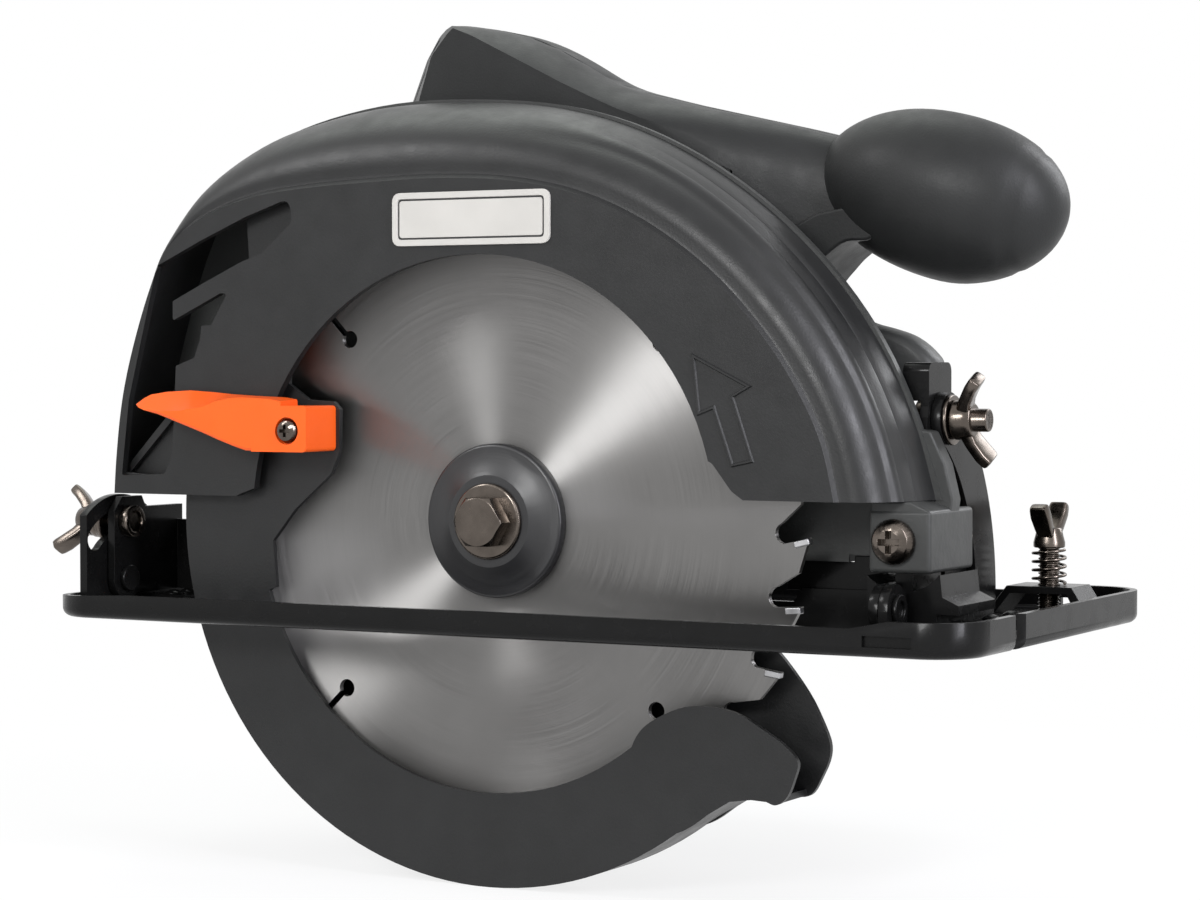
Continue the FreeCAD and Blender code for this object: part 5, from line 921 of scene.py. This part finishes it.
def make_gear_case_shoulder():
    """The gear case's rounded front shoulder."""
    outline = catmull(SHOULDER[:SHOULDER_CURVED], 5) + SHOULDER[SHOULDER_CURVED:]
    rings = []
    for y, shrink in SHOULDER_DEPTHS:
        ring = []
        for point in outline:
            way = Vector(point) - SHOULDER_MIDDLE
            near = SHOULDER_MIDDLE + way * (1 - shrink / max(way.length, 14))
            ring.append((near.x, y, near.y))
        rings.append(ring)
    dome = rings_mesh("gear_case_shoulder", rings)
    new_object("gear_case_shoulder", dome, "case_black", "saw_body", smooth=50)


def make_gear_case_web():
    """The web that runs down beside the guard to the front lug, and the slope on top of the lug."""
    web = [(96, 30), (126, 30), (126.2, 34), (126.6, 36.8), (124.4, 45.9), (120.4, 54.2), (117, 54.8),
           (112, 50), (96, 46)]
    slope = [(110, 33), (126.2, 33), (126.2, 34.3), (121, 36.6), (110, 36.6)]
    parts = [prism_y("web", web, 12.3, 18.4), prism_y("slope", slope, -1.6, 12.6)]
    piece = new_object("gear_case_web", join("gear_case_web", parts), "case_black", "saw_body", smooth=30)
    soft_edges(piece, 0.6, 3, 30)


def make_tilt_strip():
    """The stepped black strip of the tilt frame behind the blade."""
    upper = rounded([(79, 12, 0.5), (107.6, 12, 0), (107.6, 21.5, 0), (98.8, 21.5, 0.2), (98.6, 19.85, 0.2),
                     (81, 19.85, 1.5)])
    lower = rounded([(60, 2.4, 0.3), (107.6, 2.4, 0), (107.6, 12.8, 0), (84, 12.8, 1), (82, 9, 1),
                     (60, 9, 1)])
    parts = [prism_y("upper", upper, 14, 15.4), prism_y("lower", lower, 12.7, 14.6)]
    strip = new_object("tilt_strip", join("tilt_strip", parts), "gloss_black", "tilt_frame")
    soft_edges(strip, 0.45, 3)


def make_depth_arm():
    """The depth arm, with its top end cut back below the guard's edge."""
    arm = copy_node("depth_arm")
    end = [(-104, 114), (-84, 128.5), (-58, 138.5), (-40, 140), (-40, 160), (-104, 160)]
    cut_away(arm, [prism_y("end", end, 10, 25)])
    piece = new_object("depth_arm_plate", take_mesh(arm), "gloss_black", "tilt_frame", ["depth_arm"], 32)
    dress(piece, 0.35)


# ---------------------------------------------------------------- fasteners
THREAD_R, PITCH, TIP = 3.0, 1.0, 0.6


def threads(name, place, axis, start, end):
    """A screw thread as fine ridges, with a chamfered end."""
    radius, root, pitch, tip = THREAD_R, THREAD_R * 0.86, PITCH, TIP
    profile = [(0, start), (root, start)]
    h = start
    while h < end - tip - pitch:
        profile += [(root, h + pitch * 0.15), (radius, h + pitch * 0.42), (radius, h + pitch * 0.58),
                    (root, h + pitch * 0.85)]
        h += pitch
    profile += [(radius, h + pitch * 0.5), (radius, end - tip), (radius - tip, end), (0, end)]
    return turned(name, profile, place, axis, 40)


def wing_pair(place, axis, side, reach, rise, root, thick, high):
    """Two rounded wings that leave a hub at root, reach out sideways and lean along the axis."""
    out = Vector(axis).normalized()
    across = Vector(side).normalized()
    flat = out.cross(across)
    parts = []
    for sign in (1, -1):
        knots = [(1.6, root), (reach * 0.5, root + rise * 0.28), (reach * 0.8, root + rise * 0.66),
                 (reach * 0.93, root + rise * 0.88), (reach * 0.985, root + rise * 0.97),
                 (reach, root + rise)]
        path = [tuple(Vector(place) + across * (sign * a) + out * h) for a, h in knots]
        sizes = [(high * 0.85, thick * 1.25), (high * 0.95, thick), (high * 1.05, thick), (high, thick),
                 (high * 0.92, thick * 0.9), (high * 0.72, thick * 0.62)]
        parts.append(sweep("wing", path, sizes, tuple(flat), 4.5, 28))
    return parts


def hub(place, axis, r0, r1, h0, h1):
    """A hub that narrows from r0 to r1 between its two heights."""
    profile = [(0, h0), (r0 - 0.3, h0), (r0, h0 + 0.3), (r0, h0 + 1.4), (r1 + 0.4, h0 + (h1 - h0) * 0.6),
               (r1, h1 - 0.3), (r1 - 0.3, h1), (0, h1)]
    return turned("hub", profile, place, axis, 48)


def make_front_wing():
    """The wing nut on the bevel stud."""
    y, z = box_mm("bevel_stud")[2][1:]
    axis = (1, 0, 0)
    lean = math.radians(24)
    side = (0, -math.sin(lean), math.cos(lean))
    place = (122.4, y, z)
    parts = wing_pair(place, axis, side, 12.0, 5.6, 2.6, 1.7, 3.3) + [hub(place, axis, 5.2, 4.4, 0, 5.4)]
    nut = new_object("front_wing_body", join("front_wing_body", parts), "dark_hardware", "front_wing_nut",
                     ["front_wing_nut"], 50)
    soft_edges(nut, 0.2)
    thread = threads("bevel_stud_thread", (0, y, z), axis, 119.5, 131.9)
    new_object("bevel_stud_thread", thread, "dark_hardware", "base", smooth=25)


def make_guide_wing():
    """The wing bolt that clamps the rip guide's strap."""
    (_, _, bottom), (_, _, top), (x, y, _) = box_mm("guide_wing_bolt")
    axis = (0, 0, 1)
    place = (x, y, top - 10.5)
    parts = wing_pair(place, axis, (0, 1, 0), 8.3, 8.2, 1.6, 1.6, 2.6)
    parts += [hub(place, axis, 4.3, 3.4, -1.8, 3.6),
              threads("shank", (x, y, 0), axis, bottom, top - 12)]
    wing = new_object("guide_wing_body", join("guide_wing_body", parts), "dark_hardware", "guide_wing_bolt",
                      ["guide_wing_bolt"], 50)
    soft_edges(wing, 0.2)


def make_rear_wing():
    """The wing bolt that clamps the rear bracket to its quadrant."""
    (end, _, _), (front, _, _), (_, y, z) = box_mm("rear_wing_bolt")
    axis = (-1, 0, 0)
    place = (end + 11.5, y, z)
    lean = math.radians(30)
    side = (0, math.sin(lean), math.cos(lean))
    parts = wing_pair(place, axis, side, 9.6, 8.4, 1.6, 1.6, 2.6)
    parts += [hub(place, axis, 4.6, 3.6, -0.6, 4.4),
              threads("shank", (0, y, z), (1, 0, 0), end + 9, front)]
    wing = new_object("rear_wing_body", join("rear_wing_body", parts), "dark_hardware", "rear_wing_bolt",
                      ["rear_wing_bolt"], 50)
    soft_edges(wing, 0.2)


def make_guide_spring():
    """The round-wire spring under the guide's wing bolt."""
    low, high, (x, y, _) = box_mm("guide_spring")
    wire = 0.4
    radius = (high[0] - low[0]) / 2 - wire
    bottom, top = low[2] + wire, high[2] - wire
    turns, per_turn = 4, 32
    path = []
    for k in range(turns * per_turn + 1):
        turn = 2 * math.pi * k / per_turn
        z = bottom + (top - bottom) * k / (turns * per_turn)
        path.append((x + radius * math.cos(turn), y + radius * math.sin(turn), z))
    coil = sweep("guide_spring_wire", path, [(wire, wire)] * len(path), (0, 0, 1), 2.0, 12)
    new_object("guide_spring_wire", coil, "dark_hardware", "base", ["guide_spring"], 60)


# ---------------------------------------------------------------- CAD nodes that stay
def make_cad_looks():
    """Gives each CAD node that nothing stands in for its record's material and rounded edges."""
    slots = {p["node"]: p["material_slot"] for p in frame["record"]["subparts"]}
    for name, obj in NODES.items():
        if obj.hide_render:
            continue
        obj.data.materials.clear()
        obj.data.materials.append(MATS[slots[name]])
        for poly in obj.data.polygons:
            poly.material_index = 0
        dress(obj, 0.35)


make_camera()
make_stage()
MATS = make_materials()
make_upper_guard()
make_chip_ribs()
make_turn_arrow()
make_badge()
make_knob()
make_neck()
make_blade()
make_lever()
make_lower_guard()
make_handle_side()
make_handle_foot()
make_gear_case()
make_gear_case_shoulder()
make_gear_case_web()
make_tilt_strip()
make_depth_arm()
make_front_wing()
make_guide_wing()
make_rear_wing()
make_guide_spring()
make_cad_looks()
